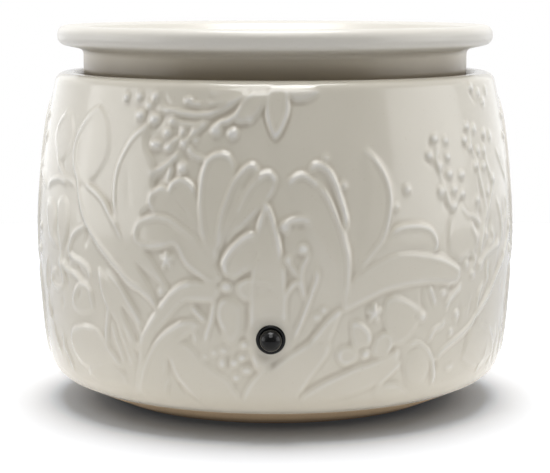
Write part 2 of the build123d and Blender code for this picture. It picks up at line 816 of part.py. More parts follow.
def build():
    """Every node of the warmer by name."""
    return {
        "body_shell": body_shell(),
        "wax_dish": wax_dish(),
        "hot_plate": hot_plate(),
        "plate_studs": plate_studs(),
        "plate_gasket": plate_gasket(),
        "upper_mica": on_centre_stud(mica_radius, mica_thickness, plate_under - mica_thickness),
        "heater_element": heater_element(),
        "lower_mica": on_centre_stud(mica_radius, mica_thickness, heater_under - mica_thickness),
        "clamp_plate": on_centre_stud(clamp_radius, clamp_thickness, clamp_under),
        "clamp_nut": centre_nut(clamp_under),
        "shield_spacer": on_centre_stud(shield_spacer_radius, shield_spacer_length, shield_top),
        "heat_shield": heat_shield(),
        "shield_nut": centre_nut(shield_under),
        "thermal_fuse": thermal_fuse(),
        "fuse_clip": fuse_clip(),
        "fuse_crimp": fuse_crimp(),
        "tie_pillars": tie_pillars(),
        "base_plate": base_plate(),
        "base_screws": base_screws(),
        "rubber_feet": rubber_feet(),
        "button_bezel": button_bezel(),
        "button_cap": button_cap(),
        "button_spring": button_spring(),
        "button_nut": button_nut(),
        "button_switch": button_switch(),
        "switch_tabs": switch_tabs(),
        "tab_connectors": tab_connectors(),
        "cord_bushing": cord_bushing(),
        "bushing_nut": bushing_nut(),
        "terminal_block": terminal_block(),
        "terminal_screws": terminal_screws(),
        "block_screw": block_screw(),
        **leads(),
    }


os.makedirs("parts", exist_ok=True)
for node, shape in build().items():
    pieces = shape if isinstance(shape, list) else [shape]
    solids = [s for piece in pieces for s in (Pos(0, 0, foot_gap) * piece).solids()]
    export_step(Compound(solids), f"parts/{node}.step")
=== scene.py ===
"""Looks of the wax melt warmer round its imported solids: the carved and glazed body, the glazed dish,
the button, the finishes of every part, and the studio.

Lengths are in millimetres until a mesh is filled. Heights are measured from the bottom of the foot ring,
as in the part's source, and filling a mesh raises them by foot_gap. The relief is a field of heights over
the body's side. Its place on the side is given unrolled: across is the angle from the front times
unroll_radius, and up is the height.
"""

import json
import math

import bpy
import numpy as np
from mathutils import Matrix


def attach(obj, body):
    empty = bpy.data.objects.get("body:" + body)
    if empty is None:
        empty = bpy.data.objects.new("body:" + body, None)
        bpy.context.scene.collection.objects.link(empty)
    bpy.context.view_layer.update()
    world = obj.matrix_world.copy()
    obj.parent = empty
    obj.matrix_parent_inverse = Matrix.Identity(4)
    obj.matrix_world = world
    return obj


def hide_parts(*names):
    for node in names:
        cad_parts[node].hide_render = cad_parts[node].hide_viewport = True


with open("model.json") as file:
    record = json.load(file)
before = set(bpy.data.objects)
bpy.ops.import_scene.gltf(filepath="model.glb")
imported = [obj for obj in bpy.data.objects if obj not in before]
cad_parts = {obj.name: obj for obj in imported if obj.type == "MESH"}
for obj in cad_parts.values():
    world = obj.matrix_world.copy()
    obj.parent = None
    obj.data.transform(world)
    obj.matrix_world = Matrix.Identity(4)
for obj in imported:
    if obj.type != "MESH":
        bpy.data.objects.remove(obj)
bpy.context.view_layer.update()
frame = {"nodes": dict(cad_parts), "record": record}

MM = 0.001
foot_gap = 0.8

# Sizes of the body, the dish and the seats in the wall; a point is (radius, height)

body_height = 85.1
foot_ring_radius = 41.7
foot_ring_width = 3.2
foot_ring_bevel = 0.4
heel = (58.8, 7.6)
heel_round = 7.5
belly = (61.9, 44.0)
lip = (56.9, body_height)
lip_round = 2.8
lip_inner_round = 1.2
body_wall = 4.2
wall_foot = 13.0
opening_radius = 52.0
ledge_radius = 49.0
ledge_height = 73.5
ledge_thickness = 4.0
floor_top = 8.4
floor_hole_radius = 33.9
recess_depth = 4.0
glaze_edge_radius = 53.2

plate_top = 70.5
neck_radius = 50.0
neck_height = 20.4
rim_radius = 56.7
rim_underside = 21.9
rim_round = 2.25
dish_height = 26.6
basin_radius = 46.4
basin_floor = 3.8

button_x = -1.0
button_height = 24.7
button_hole_radius = 3.35
button_seat_radius = 3.8
cap_radius = 2.65
cap_top = 4.05
cap_skirt = 3.6
plunger_radius = 1.1
plunger_length = 11.6
collar_bore_radius = 2.75
collar_barrel_radius = 3.1
collar_flange_radius = 3.5
gland_height = 18.0
gland_hole_radius = 4.65
gland_seat_radius = 6.4

# How the meshes are laid out: row_step is the way between two rows of the body's outside

unroll_radius = 60.0
half_turn = math.pi * unroll_radius
row_step = 0.58
rows_in_mouth = 4
dish_columns = 288
button_columns = 96
hole_sides = 64
body_edge_angle = 62


# Meshes from arrays


def fill_mesh(name, points, quads, triangles=(), smooth_angle=50.0):
    """New object whose mesh has these points, in millimetres, and faces; edges sharper than
    smooth_angle stay sharp."""
    points = np.asarray(points, float) * MM
    points[:, 2] += foot_gap * MM
    quads = np.asarray(quads, np.int32).reshape(-1, 4)
    triangles = np.asarray(triangles, np.int32).reshape(-1, 3)
    corners = np.concatenate([quads.ravel(), triangles.ravel()])
    sizes = np.concatenate([np.full(len(quads), 4), np.full(len(triangles), 3)])
    mesh = bpy.data.meshes.new(name)
    mesh.vertices.add(len(points))
    mesh.vertices.foreach_set("co", points.astype(np.float32).ravel())
    mesh.loops.add(len(corners))
    mesh.loops.foreach_set("vertex_index", corners.astype(np.int32))
    mesh.polygons.add(len(sizes))
    mesh.polygons.foreach_set("loop_start", (np.cumsum(sizes) - sizes).astype(np.int32))
    mesh.polygons.foreach_set("loop_total", sizes.astype(np.int32))
    mesh.update(calc_edges=True)
    mesh.validate()
    smooth(mesh, smooth_angle)
    return added(name, mesh)


def added(name, data):
    """New object of the scene with this mesh, lamp or camera."""
    piece = bpy.data.objects.new(name, data)
    bpy.context.scene.collection.objects.link(piece)
    return piece


def smooth(mesh, angle):
    """Shades the mesh smooth, but keeps edges sharper than the angle, in degrees."""
    mesh.polygons.foreach_set("use_smooth", np.ones(len(mesh.polygons), bool))
    mesh.set_sharp_from_angle(angle=math.radians(angle))


def store(piece, name, values):
    """Keeps one number for each vertex under that name, for the finishes to read."""
    attribute = piece.data.attributes.new(name, "FLOAT", "POINT")
    attribute.data.foreach_set("value", np.asarray(values, np.float32))


def rounded(corners, step=5.0):
    """Profile of straight runs whose corners are rounded: each corner is (radius, height, round). An arc
    touches both runs, its middle lies on their bisector, and it has a point for each step degrees."""
    corners = [np.array(c, float) for c in corners]
    profile = [corners[0][:2]]
    for before, corner, after in zip(corners, corners[1:], corners[2:]):
        way_in = corner[:2] - before[:2]
        way_out = after[:2] - corner[:2]
        way_in, way_out = way_in / np.hypot(*way_in), way_out / np.hypot(*way_out)
        turn = math.atan2(way_in[0] * way_out[1] - way_in[1] * way_out[0], way_in @ way_out)
        if corner[2] <= 0:
            profile.append(corner[:2])
            continue
        start = corner[:2] - way_in * corner[2] * math.tan(abs(turn) / 2)
        inward = np.array([-way_in[1], way_in[0]]) * math.copysign(1, turn)
        centre = start + inward * corner[2]
        count = max(2, math.ceil(math.degrees(abs(turn)) / step))
        for angle in np.linspace(0, turn, count + 1):
            c, s = math.cos(angle), math.sin(angle)
            arm = start - centre
            profile.append(centre + np.array([c * arm[0] - s * arm[1], s * arm[0] + c * arm[1]]))
    profile.append(corners[-1][:2])
    return np.array(profile)


def ring_points(radii, heights, angles):
    """Points radius * (sin angle, -cos angle) at each height: angle 0 is the front, +X is at 90 degrees.
    Radii and heights are a column, with one number for each ring, or a grid, with one for each point."""
    points = np.broadcast_arrays(radii * np.sin(angles), -radii * np.cos(angles), heights)
    return np.stack(points, axis=2).reshape(-1, 3)


def ring_quads(rows, columns, first=0, closed=False):
    """Quads between neighbouring rings, outwards where the profile climbs outside. The rings' points are
    numbered from first on; if closed, the last ring meets the first."""
    row, column = np.meshgrid(np.arange(rows if closed else rows - 1), np.arange(columns), indexing="ij")
    right = (column + 1) % columns
    low, high = first + row * columns, first + (row + 1) % rows * columns
    return np.stack([low + column, low + right, high + right, high + column], axis=2).reshape(-1, 4)


def fan(middle, ring, upward):
    """Triangles from a middle point to each side of a ring that runs from the front toward +X. They face
    up or down."""
    after = np.roll(ring, -1)
    return np.stack([np.full(len(ring), middle), *((ring, after) if upward else (after, ring))], axis=1)


def turned(name, profile, columns, closed=False):
    """Solid turned about Z from a profile that runs from the axis underneath, up the outside, back to the
    axis on top; a closed profile is a ring and doesn't touch the axis."""
    angles = np.arange(columns) * 2 * math.pi / columns
    rings = profile if closed else profile[1:-1]
    points = ring_points(rings[:, :1], rings[:, 1:], angles)
    quads = ring_quads(len(rings), columns, closed=closed)
    if closed:
        return fill_mesh(name, points, quads)
    poles = [[0, 0, profile[0, 1]], [0, 0, profile[-1, 1]]]
    lowest, highest = np.arange(columns), len(points) - columns + np.arange(columns)
    caps = [fan(len(points), lowest, upward=False), fan(len(points) + 1, highest, upward=True)]
    return fill_mesh(name, np.concatenate([points, poles]), quads, np.concatenate(caps))


def facing_front(piece, x, y, height):
    """Lays down a piece made about Z so that its top faces the front, with its zero at this place."""
    points = np.empty(len(piece.data.vertices) * 3, np.float32)
    piece.data.vertices.foreach_get("co", points)
    across, back, up = points.reshape(-1, 3).T
    up = up - foot_gap * MM
    moved = np.stack([across + x * MM, y * MM - up, back + (height + foot_gap) * MM], axis=1)
    piece.data.vertices.foreach_set("co", moved.astype(np.float32).ravel())
    piece.data.update()
    return piece


# The body's profile


def circle_through(first, middle, last):
    """Centre and radius of the circle through three points."""
    (ax, ay), (bx, by), (cx, cy) = first, middle, last
    double = 2 * (ax * (by - cy) + bx * (cy - ay) + cx * (ay - by))
    a2, b2, c2 = ax**2 + ay**2, bx**2 + by**2, cx**2 + cy**2
    x = (a2 * (by - cy) + b2 * (cy - ay) + c2 * (ay - by)) / double
    y = (a2 * (cx - bx) + b2 * (ax - cx) + c2 * (bx - ax)) / double
    return np.array([x, y]), math.hypot(ax - x, ay - y)


side_centre, side_arc = circle_through(heel, belly, lip)


def side_radius(height, inset=0.0):
    """Radius of the side's arc at a height, or of the inner wall if inset is the wall's thickness."""
    return side_centre[0] + np.sqrt((side_arc - inset) ** 2 - (height - side_centre[1]) ** 2)


def underside(radius):
    """Height of the sloping underside, which is straight between the foot ring and the heel."""
    return (radius - foot_ring_radius) * heel[1] / (heel[0] - foot_ring_radius)


def arc(centre, radius, start, end, count):
    """Points of an arc between two angles, in radians."""
    angles = np.linspace(start, end, count)
    return centre + radius * np.stack([np.cos(angles), np.sin(angles)], axis=1)


def outer_profile(step):
    """Glazed outside from the glaze's edge on the sloping underside, over the heel, the side and the lip,
    to the mouth. Each round touches its two neighbours, and the points are a step apart."""
    slope = np.array(heel) - (foot_ring_radius, 0)
    slope = slope / np.hypot(*slope)
    out = np.array([slope[1], -slope[0]])
    # the heel's middle is heel_round above the slope and heel_round inside the side's arc
    start = np.array([foot_ring_radius, 0]) - out * heel_round
    gap = start - side_centre
    along = -(gap @ slope) + math.sqrt((gap @ slope) ** 2 - gap @ gap + (side_arc - heel_round) ** 2)
    heel_centre = start + along * slope
    lip_z = body_height - lip_round
    lip_x = side_centre[0] + math.sqrt((side_arc - lip_round) ** 2 - (lip_z - side_centre[1]) ** 2)
    lip_centre = np.array([lip_x, lip_z])

    def bearing(point):
        return math.atan2(*(point - side_centre)[::-1])

    low, high = bearing(heel_centre), bearing(lip_centre)
    mouth = (opening_radius + lip_inner_round, body_height - lip_inner_round)
    fine = np.concatenate(
        [
            [(glaze_edge_radius, underside(glaze_edge_radius))],
            arc(heel_centre, heel_round, math.atan2(out[1], out[0]), low, 60),
            arc(side_centre, side_arc, low, high, 400)[1:],
            arc(lip_centre, lip_round, high, math.pi / 2, 40)[1:],
            arc(mouth, lip_inner_round, math.pi / 2, math.pi, 20),
        ]
    )
    length = np.concatenate([[0], np.cumsum(np.hypot(*np.diff(fine, axis=0).T))])
    even = np.linspace(0, length[-1], round(length[-1] / step) + 1)
    return np.stack([np.interp(even, length, fine[:, 0]), np.interp(even, length, fine[:, 1])], axis=1)


def inner_profile():
    """The rest of the body: mouth, ledge with a cone under it, inner wall, two short slopes down to the
    floor, recess, foot ring and sloping underside."""
    ledge_under = ledge_height - ledge_thickness
    cone_foot = ledge_under - (side_radius(ledge_under, body_wall) - ledge_radius)
    wall = [(side_radius(z, body_wall), z) for z in np.linspace(cone_foot, wall_foot, 7)]
    ring_inside = foot_ring_radius - foot_ring_width
    clay_edge = glaze_edge_radius - 0.6
    return np.array(
        [
            (opening_radius, ledge_height),
            (ledge_radius, ledge_height),
            (ledge_radius, ledge_under),
            *wall,
            (side_radius(9.6, body_wall) - 1.6, 9.6),
            (side_radius(floor_top, body_wall) - 5.0, floor_top),
            (floor_hole_radius, floor_top),
            (floor_hole_radius, recess_depth),
            (ring_inside, recess_depth),
            (ring_inside, foot_ring_bevel),
            (ring_inside + foot_ring_bevel, 0),
            (foot_ring_radius - foot_ring_bevel, 0),
            (foot_ring_radius + 0.3, 0.2),
            (clay_edge, underside(clay_edge)),
        ]
    )


# The photograph's camera

picture_width, picture_height = 550, 473
camera_distance = 505.1
camera_height = 107.6
camera_pitch = math.radians(7.5)
focal_pixels = 1918.0
sensor_width = 36.0


def off_the_flank(pixels):
    """Across and down of the middles of shapes that are seen at these pixels by their lit flanks: up to
    2 pixels further in at the sides, and 2.4 lower, but only 0.8 lower near the foot."""
    x, y = np.asarray(pixels, float).T
    sideways = np.clip((x - picture_width / 2) / 75, -1, 1)
    down_the_side = np.clip((y - 240) / 100, 0, 1)
    return x - 2.0 * sideways, y + 2.4 - 1.6 * down_the_side


def onto_side(pixels):
    """Unrolled places on the body's side that the camera sees at these pixels: the first point of each
    ray where its distance from the axis is the side's radius, found by halving."""
    x, y = off_the_flank(pixels)
    right = (x - picture_width / 2) / focal_pixels
    up = (picture_height / 2 - y) / focal_pixels
    c, s = math.cos(camera_pitch), math.sin(camera_pitch)
    ray = np.stack([right, c + up * s, up * c - s], axis=1)
    # from before the body to where the ray is nearest to the axis
    near = np.full(len(ray), camera_distance - 70.0)
    far = camera_distance / ray[:, 1] / (1 + (ray[:, 0] / ray[:, 1]) ** 2)
    for _ in range(40):
        middle = (near + far) / 2
        x, y = ray[:, 0] * middle, ray[:, 1] * middle - camera_distance
        z = camera_height + ray[:, 2] * middle
        outside = np.hypot(x, y) > side_radius(np.clip(z, 2, body_height))
        near, far = np.where(outside, middle, near), np.where(outside, far, middle)
    return np.stack([np.arctan2(x, -y) * unroll_radius, z], axis=1)


# The relief's shapes


def spline(points, closed=False):
    """Smooth line through the points: a Catmull-Rom cubic between each two, cut into six steps."""
    steps = 6
    p = np.asarray(points, float)
    if closed:
        p = np.concatenate([p[-1:], p, p[:2]])
    else:
        p = np.concatenate([2 * p[:1] - p[1:2], p, 2 * p[-1:] - p[-2:-1]])
    t = (np.arange(steps) / steps)[None, :, None]
    a, b, c, d = (p[i : len(p) - 3 + i, None] for i in range(4))
    curve = 0.5 * (2 * b + (c - a) * t + (2 * a - 5 * b + 4 * c - d) * t**2 + (3 * b - a - 3 * c + d) * t**3)
    curve = curve.reshape(-1, 2)
    return curve if closed else np.concatenate([curve, p[-2:-1]])


def ease(low, high, value):
    """0 at low and before it, 1 at high and beyond it, and 3t^2 - 2t^3 between; low may be the larger."""
    t = np.clip((value - low) / (high - low), 0, 1)
    return t * t * (3 - 2 * t)


def bell(t):
    """(1 - t^2)^2 inside -1 to 1, and 0 outside."""
    return np.clip(1 - t * t, 0, None) ** 2


class Relief:
    """Field of heights at scattered unrolled places. Each shape changes the places near it."""

    def __init__(self, places):
        self.places = places
        self.height = np.zeros(len(places))

    def near(self, line, reach):
        """Numbers of the places in the line's box, grown by reach."""
        low, high = line.min(axis=0) - reach, line.max(axis=0) + reach
        return np.flatnonzero(((self.places > low) & (self.places < high)).all(axis=1))

    def nearest(self, numbers, line):
        """For each place its distance from the line, and the share of the line at which it is nearest."""
        start, way = line[:-1], np.diff(line, axis=0)
        length = np.hypot(way[:, 0], way[:, 1]) + 1e-9
        gap = self.places[numbers, None, :] - start
        t = np.clip((gap * way).sum(axis=2) / length**2, 0, 1)
        distance = np.hypot(gap[..., 0] - t * way[:, 0], gap[..., 1] - t * way[:, 1])
        best = distance.argmin(axis=1)
        rows = np.arange(len(numbers))
        done = np.concatenate([[0], np.cumsum(length)])
        share = (done[best] + t[rows, best] * length[best]) / done[-1]
        return distance[rows, best], share

    def slab(self, outline, height, edge):
        """Low flat area: inside the outline the height goes to that of the slab over the edge's width. A
        point is inside if a line from it toward +X meets the outline an odd number of times."""
        line = spline(outline, closed=True)
        line = np.concatenate([line, line[:1]])
        numbers = self.near(line, edge)
        distance, _ = self.nearest(numbers, line)
        x, y = self.places[numbers].T
        (x0, y0), (x1, y1) = line[:-1].T, line[1:].T
        crosses = (y0 > y[:, None]) != (y1 > y[:, None])
        meets = x0 + (y[:, None] - y0) * (x1 - x0) / np.where(y1 == y0, 1e-9, y1 - y0)
        inside = (crosses & (x[:, None] < meets)).sum(axis=1) % 2 == 1
        cover = ease(-edge / 2, edge / 2, np.where(inside, distance, -distance))
        self.height[numbers] += (height - self.height[numbers]) * cover

    def ridge(self, line, height, width):
        """Rounded ridge: a bell across the line, which sinks to a quarter at its ends."""
        numbers = self.near(line, width)
        distance, share = self.nearest(numbers, line)
        ends = 0.25 + 0.75 * ease(0, 0.12, share) * ease(0, 0.12, 1 - share)
        cover = bell(distance / width) * ends
        self.height[numbers] += np.clip(height - self.height[numbers], 0, None) * cover

    def groove(self, line, depth, width):
        """Rounded groove: a bell across the line is taken off, and only 0.3 of it at its ends."""
        numbers = self.near(line, width)
        distance, share = self.nearest(numbers, line)
        ends = 0.3 + 0.7 * ease(0, 0.25, share) * ease(0, 0.25, 1 - share)
        self.height[numbers] -= depth * bell(distance / width) * ends

    def dome(self, x, y, radius_x, radius_y, height):
        """Berry: height times 1 - d^2, with d the distance from its middle in radii, rounded at the foot."""
        line = np.array([[x - radius_x, y - radius_y], [x + radius_x, y + radius_y]])
        numbers = self.near(line, 0.5)
        gap = (self.places[numbers] - (x, y)) / (radius_x, radius_y)
        d = np.hypot(gap[:, 0], gap[:, 1])
        cover = np.clip(1 - d**2, 0, None) ** 0.75 * ease(1.05, 0.8, d)
        self.height[numbers] += np.clip(height - self.height[numbers], 0, None) * cover


# Shapes on the front, given at the pixels of the picture at which they are seen, x from its left edge
# and y down from its top. A shape lies over those before it.
# Low slabs: height, width of the edge, outline. Those below 0 are sunk into the ground or into other slabs.
front_slabs = [
    # leaves on the left
    (0.26, 1.20, [(68, 110), (72, 120), (73, 131), (69, 146), (62, 158), (56, 150), (54, 135), (57, 124)]),
    (0.36, 1.80, [(98, 105), (90, 112), (83, 122), (77, 133), (74, 143), (73, 155), (74, 166), (77, 177),
        (82, 182), (92, 176), (101, 163), (107, 148), (107, 132), (105, 116)]),
    (0.34, 1.00, [(57, 200), (62, 194), (66, 199), (67, 214), (65, 234), (60, 247), (57, 234), (56, 215)]),
    (0.30, 1.00, [(46, 200), (51, 198), (54, 212), (53, 230), (56, 244), (49, 236), (46, 216)]),
    (0.35, 0.90, [(97, 268), (100, 283), (104, 298), (110, 312), (118, 322), (128, 338), (136, 350),
        (139, 343), (140, 330), (131, 309), (120, 292), (109, 279)]),
    (0.45, 0.90, [(80, 184), (80, 203), (84, 218), (92, 234), (108, 257), (127, 280), (146, 297),
        (156, 310), (150, 290), (138, 268), (127, 248), (119, 232), (110, 213), (102, 198), (92, 187)]),
    (0.45, 0.90, [(146, 123), (137, 130), (129, 139), (121, 153), (116, 165), (113, 182), (113, 202),
        (117, 226), (127, 250), (150, 274), (168, 290), (150, 258), (138, 236), (140, 214), (150, 200),
        (152, 165), (147, 145)]),
    # sprig that hangs from the lip
    (0.60, 0.70, [(254, 91), (268, 91), (266, 102), (262, 109), (255, 115), (246, 120), (235, 121),
        (236, 112), (241, 104), (247, 96)]),
    (0.45, 0.80, [(270, 88), (267, 103), (268, 116), (271, 127), (275, 134), (280, 129), (285, 118),
        (288, 106), (286, 88)]),
    (0.55, 0.80, [(286, 88), (289, 96), (298, 99), (310, 97), (320, 88)]),
    (0.35, 0.90, [(210, 88), (212, 95), (222, 101), (236, 97), (246, 88)]),
    # petals of the flower
    (0.40, 0.90, [(172, 241), (178, 247), (181, 255), (187, 263), (197, 272), (209, 279), (216, 274),
        (213, 261), (203, 252), (190, 244), (180, 240)]),
    (0.50, 0.90, [(134, 235), (135, 226), (139, 219), (147, 215), (157, 214), (168, 217), (180, 225),
        (192, 235), (203, 246), (213, 260), (207, 258), (195, 250), (185, 244), (173, 241), (160, 243),
        (147, 244), (138, 241)]),
    (0.45, 0.90, [(152, 209), (149, 200), (150, 193), (155, 188), (161, 187), (168, 190), (178, 200),
        (190, 214), (200, 230), (208, 246), (211, 256), (200, 244), (188, 232), (175, 220), (163, 213)]),
    (0.50, 0.90, [(168, 190), (170, 182), (176, 178), (183, 178), (190, 184), (194, 191), (197, 203),
        (200, 218), (205, 235), (210, 252), (203, 242), (195, 225), (186, 210), (176, 200)]),
    (0.45, 0.90, [(226, 236), (232, 222), (240, 203), (248, 188), (257, 178), (264, 172), (271, 172),
        (276, 178), (273, 187), (265, 198), (254, 211), (243, 222), (234, 231), (226, 242)]),
    (0.50, 0.90, [(217, 242), (218, 228), (221, 212), (226, 198), (231, 185), (238, 173), (245, 166),
        (252, 163), (258, 168), (259, 176), (252, 188), (243, 202), (234, 216), (226, 230), (219, 244)]),
    (0.55, 1.00, [(199, 200), (200, 181), (203, 166), (207, 158), (215, 153), (222, 152), (229, 156),
        (234, 164), (233, 180), (228, 195), (222, 210), (219, 225), (217, 242), (214, 258), (208, 248),
        (203, 232), (200, 215)]),
    (0.50, 0.90, [(225, 273), (223, 263), (225, 255), (231, 247), (238, 240), (246, 234), (255, 231),
        (258, 240), (256, 252), (252, 266), (242, 273), (233, 277)]),
    # bud on its tall stalk, and the petals and leaves round its foot
    (0.55, 0.90, [(266, 203), (270, 211), (274, 224), (278, 240), (281, 256), (284, 280), (285, 322),
        (284, 346), (280, 360), (270, 367), (260, 370), (254, 364), (251, 345), (251, 320), (252, 290),
        (253, 270), (257, 250), (257, 231), (260, 220), (263, 210)]),
    (0.45, 0.90, [(176, 244), (180, 252), (185, 261), (192, 268), (202, 275), (212, 281), (220, 278),
        (216, 268), (204, 258), (190, 248)]),
    (0.50, 0.90, [(157, 310), (165, 298), (172, 290), (181, 284), (191, 281), (203, 282), (218, 286),
        (213, 298), (196, 298), (186, 299), (176, 306), (166, 318), (154, 334), (146, 352), (141, 372),
        (139, 396), (135, 396), (136, 375), (139, 345), (147, 325)]),
    (0.42, 1.20, [(236, 284), (245, 279), (256, 280), (268, 281), (275, 286), (268, 294), (258, 298),
        (246, 297), (238, 292)]),
    (0.45, 2.20, [(221, 328), (218, 314), (219, 303), (225, 298), (233, 299), (239, 306), (240, 321),
        (237, 337), (230, 342), (224, 338)]),
    (0.40, 1.10, [(168, 350), (172, 364), (177, 376), (185, 386), (194, 396), (204, 408), (238, 408),
        (236, 392), (228, 380), (216, 372), (200, 360), (190, 348), (180, 342)]),
    (0.45, 0.90, [(192, 320), (180, 322), (170, 328), (160, 336), (152, 347), (146, 360), (142, 373),
        (140, 390), (140, 412), (163, 412), (165, 392), (166, 372), (168, 352), (176, 342), (186, 334),
        (196, 326)]),
    # tall petals right of the middle
    (0.40, 3.40, [(289, 181), (295, 176), (303, 173), (311, 177), (320, 184), (328, 195), (336, 210),
        (343, 228), (348, 245), (351, 262), (350, 280), (346, 300), (338, 290), (328, 262), (314, 236),
        (302, 212), (296, 195)]),
    (0.30, 1.00, [(311, 169), (315, 163), (322, 163), (330, 169), (337, 182), (342, 197), (346, 211),
        (349, 226), (346, 236), (340, 218), (332, 200), (322, 184)]),
    (0.36, 3.40, [(368, 149), (376, 156), (384, 167), (390, 180), (393, 195), (392, 211), (389, 226),
        (384, 239), (376, 250), (368, 260), (359, 272), (357, 262), (362, 240), (366, 210), (368, 180),
        (366, 160)]),
    # leaves on the right
    (0.45, 1.00, [(392, 231), (398, 227), (406, 224), (416, 223), (426, 224), (433, 228), (437, 235),
        (438, 244), (430, 252), (408, 251), (390, 256), (372, 265), (360, 272), (374, 256), (384, 243)]),
    (0.50, 0.90, [(356, 276), (364, 271), (372, 266), (382, 260), (395, 254), (410, 252), (425, 254),
        (440, 256), (451, 261), (460, 268), (456, 281), (440, 279), (420, 280), (400, 284), (386, 288),
        (372, 295), (360, 301), (346, 309), (348, 290)]),
    (0.34, 1.60, [(388, 330), (387, 312), (390, 300), (400, 298), (411, 303), (421, 310), (419, 322),
        (412, 334), (402, 343), (392, 342)]),
    (0.50, 1.00, [(343, 309), (334, 316), (327, 323), (320, 332), (312, 341), (300, 349), (288, 356),
        (276, 363), (262, 371), (251, 383), (245, 394), (242, 408), (293, 408), (299, 393), (307, 380),
        (318, 366), (327, 353), (331, 341), (337, 326)]),
    # leaves low on the left
    (0.38, 1.10, [(72, 345), (71, 335), (74, 328), (85, 326), (95, 330), (102, 339), (108, 349), (115, 358),
        (121, 367), (104, 363), (88, 366), (78, 358)]),
    (0.32, 1.10, [(88, 371), (95, 366), (104, 363), (113, 366), (121, 371), (126, 384), (112, 384),
        (98, 381)]),
    (0.30, 1.00, [(72, 302), (73, 292), (77, 284), (83, 283), (88, 288), (90, 298), (92, 308), (84, 312),
        (76, 310)]),
    # leaves and buds on the right
    (0.42, 1.00, [(302, 396), (320, 384), (340, 374), (356, 367), (372, 362), (386, 356), (399, 349),
        (398, 362), (386, 377), (368, 388), (346, 397), (324, 403), (306, 408)]),
    (0.30, 1.40, [(378, 386), (388, 384), (398, 386), (408, 394), (412, 402), (396, 404), (376, 398)]),
    (0.35, 1.00, [(489, 326), (493, 337), (492, 351), (484, 362), (474, 366), (464, 360), (466, 348),
        (471, 333), (480, 321)]),
    (0.30, 1.30, [(462, 203), (454, 213), (450, 230), (451, 248), (459, 257), (469, 254), (477, 246),
        (481, 232), (475, 221), (468, 211)]),
    (0.42, 1.20, [(353, 323), (362, 322), (370, 330), (373, 340), (367, 347), (357, 347), (353, 338)]),
    (0.42, 1.20, [(376, 342), (380, 335), (388, 333), (392, 341), (389, 350), (382, 356), (374, 352)]),
    (0.40, 1.20, [(341, 350), (347, 345), (356, 347), (360, 353), (356, 361), (346, 363), (341, 358)]),
    # hollows
    (-0.14, 0.80, [(115, 280), (123, 284), (134, 295), (146, 307), (147, 317), (139, 312), (128, 300),
        (118, 289)]),
    (-0.12, 0.80, [(120, 304), (127, 312), (134, 322), (138, 335), (135, 343), (129, 330), (122, 315)]),
    (-0.20, 0.70, [(193, 303), (207, 304), (206, 316), (200, 312)]),
    (-0.16, 0.80, [(286, 269), (297, 277), (291, 283), (286, 286)]),
]

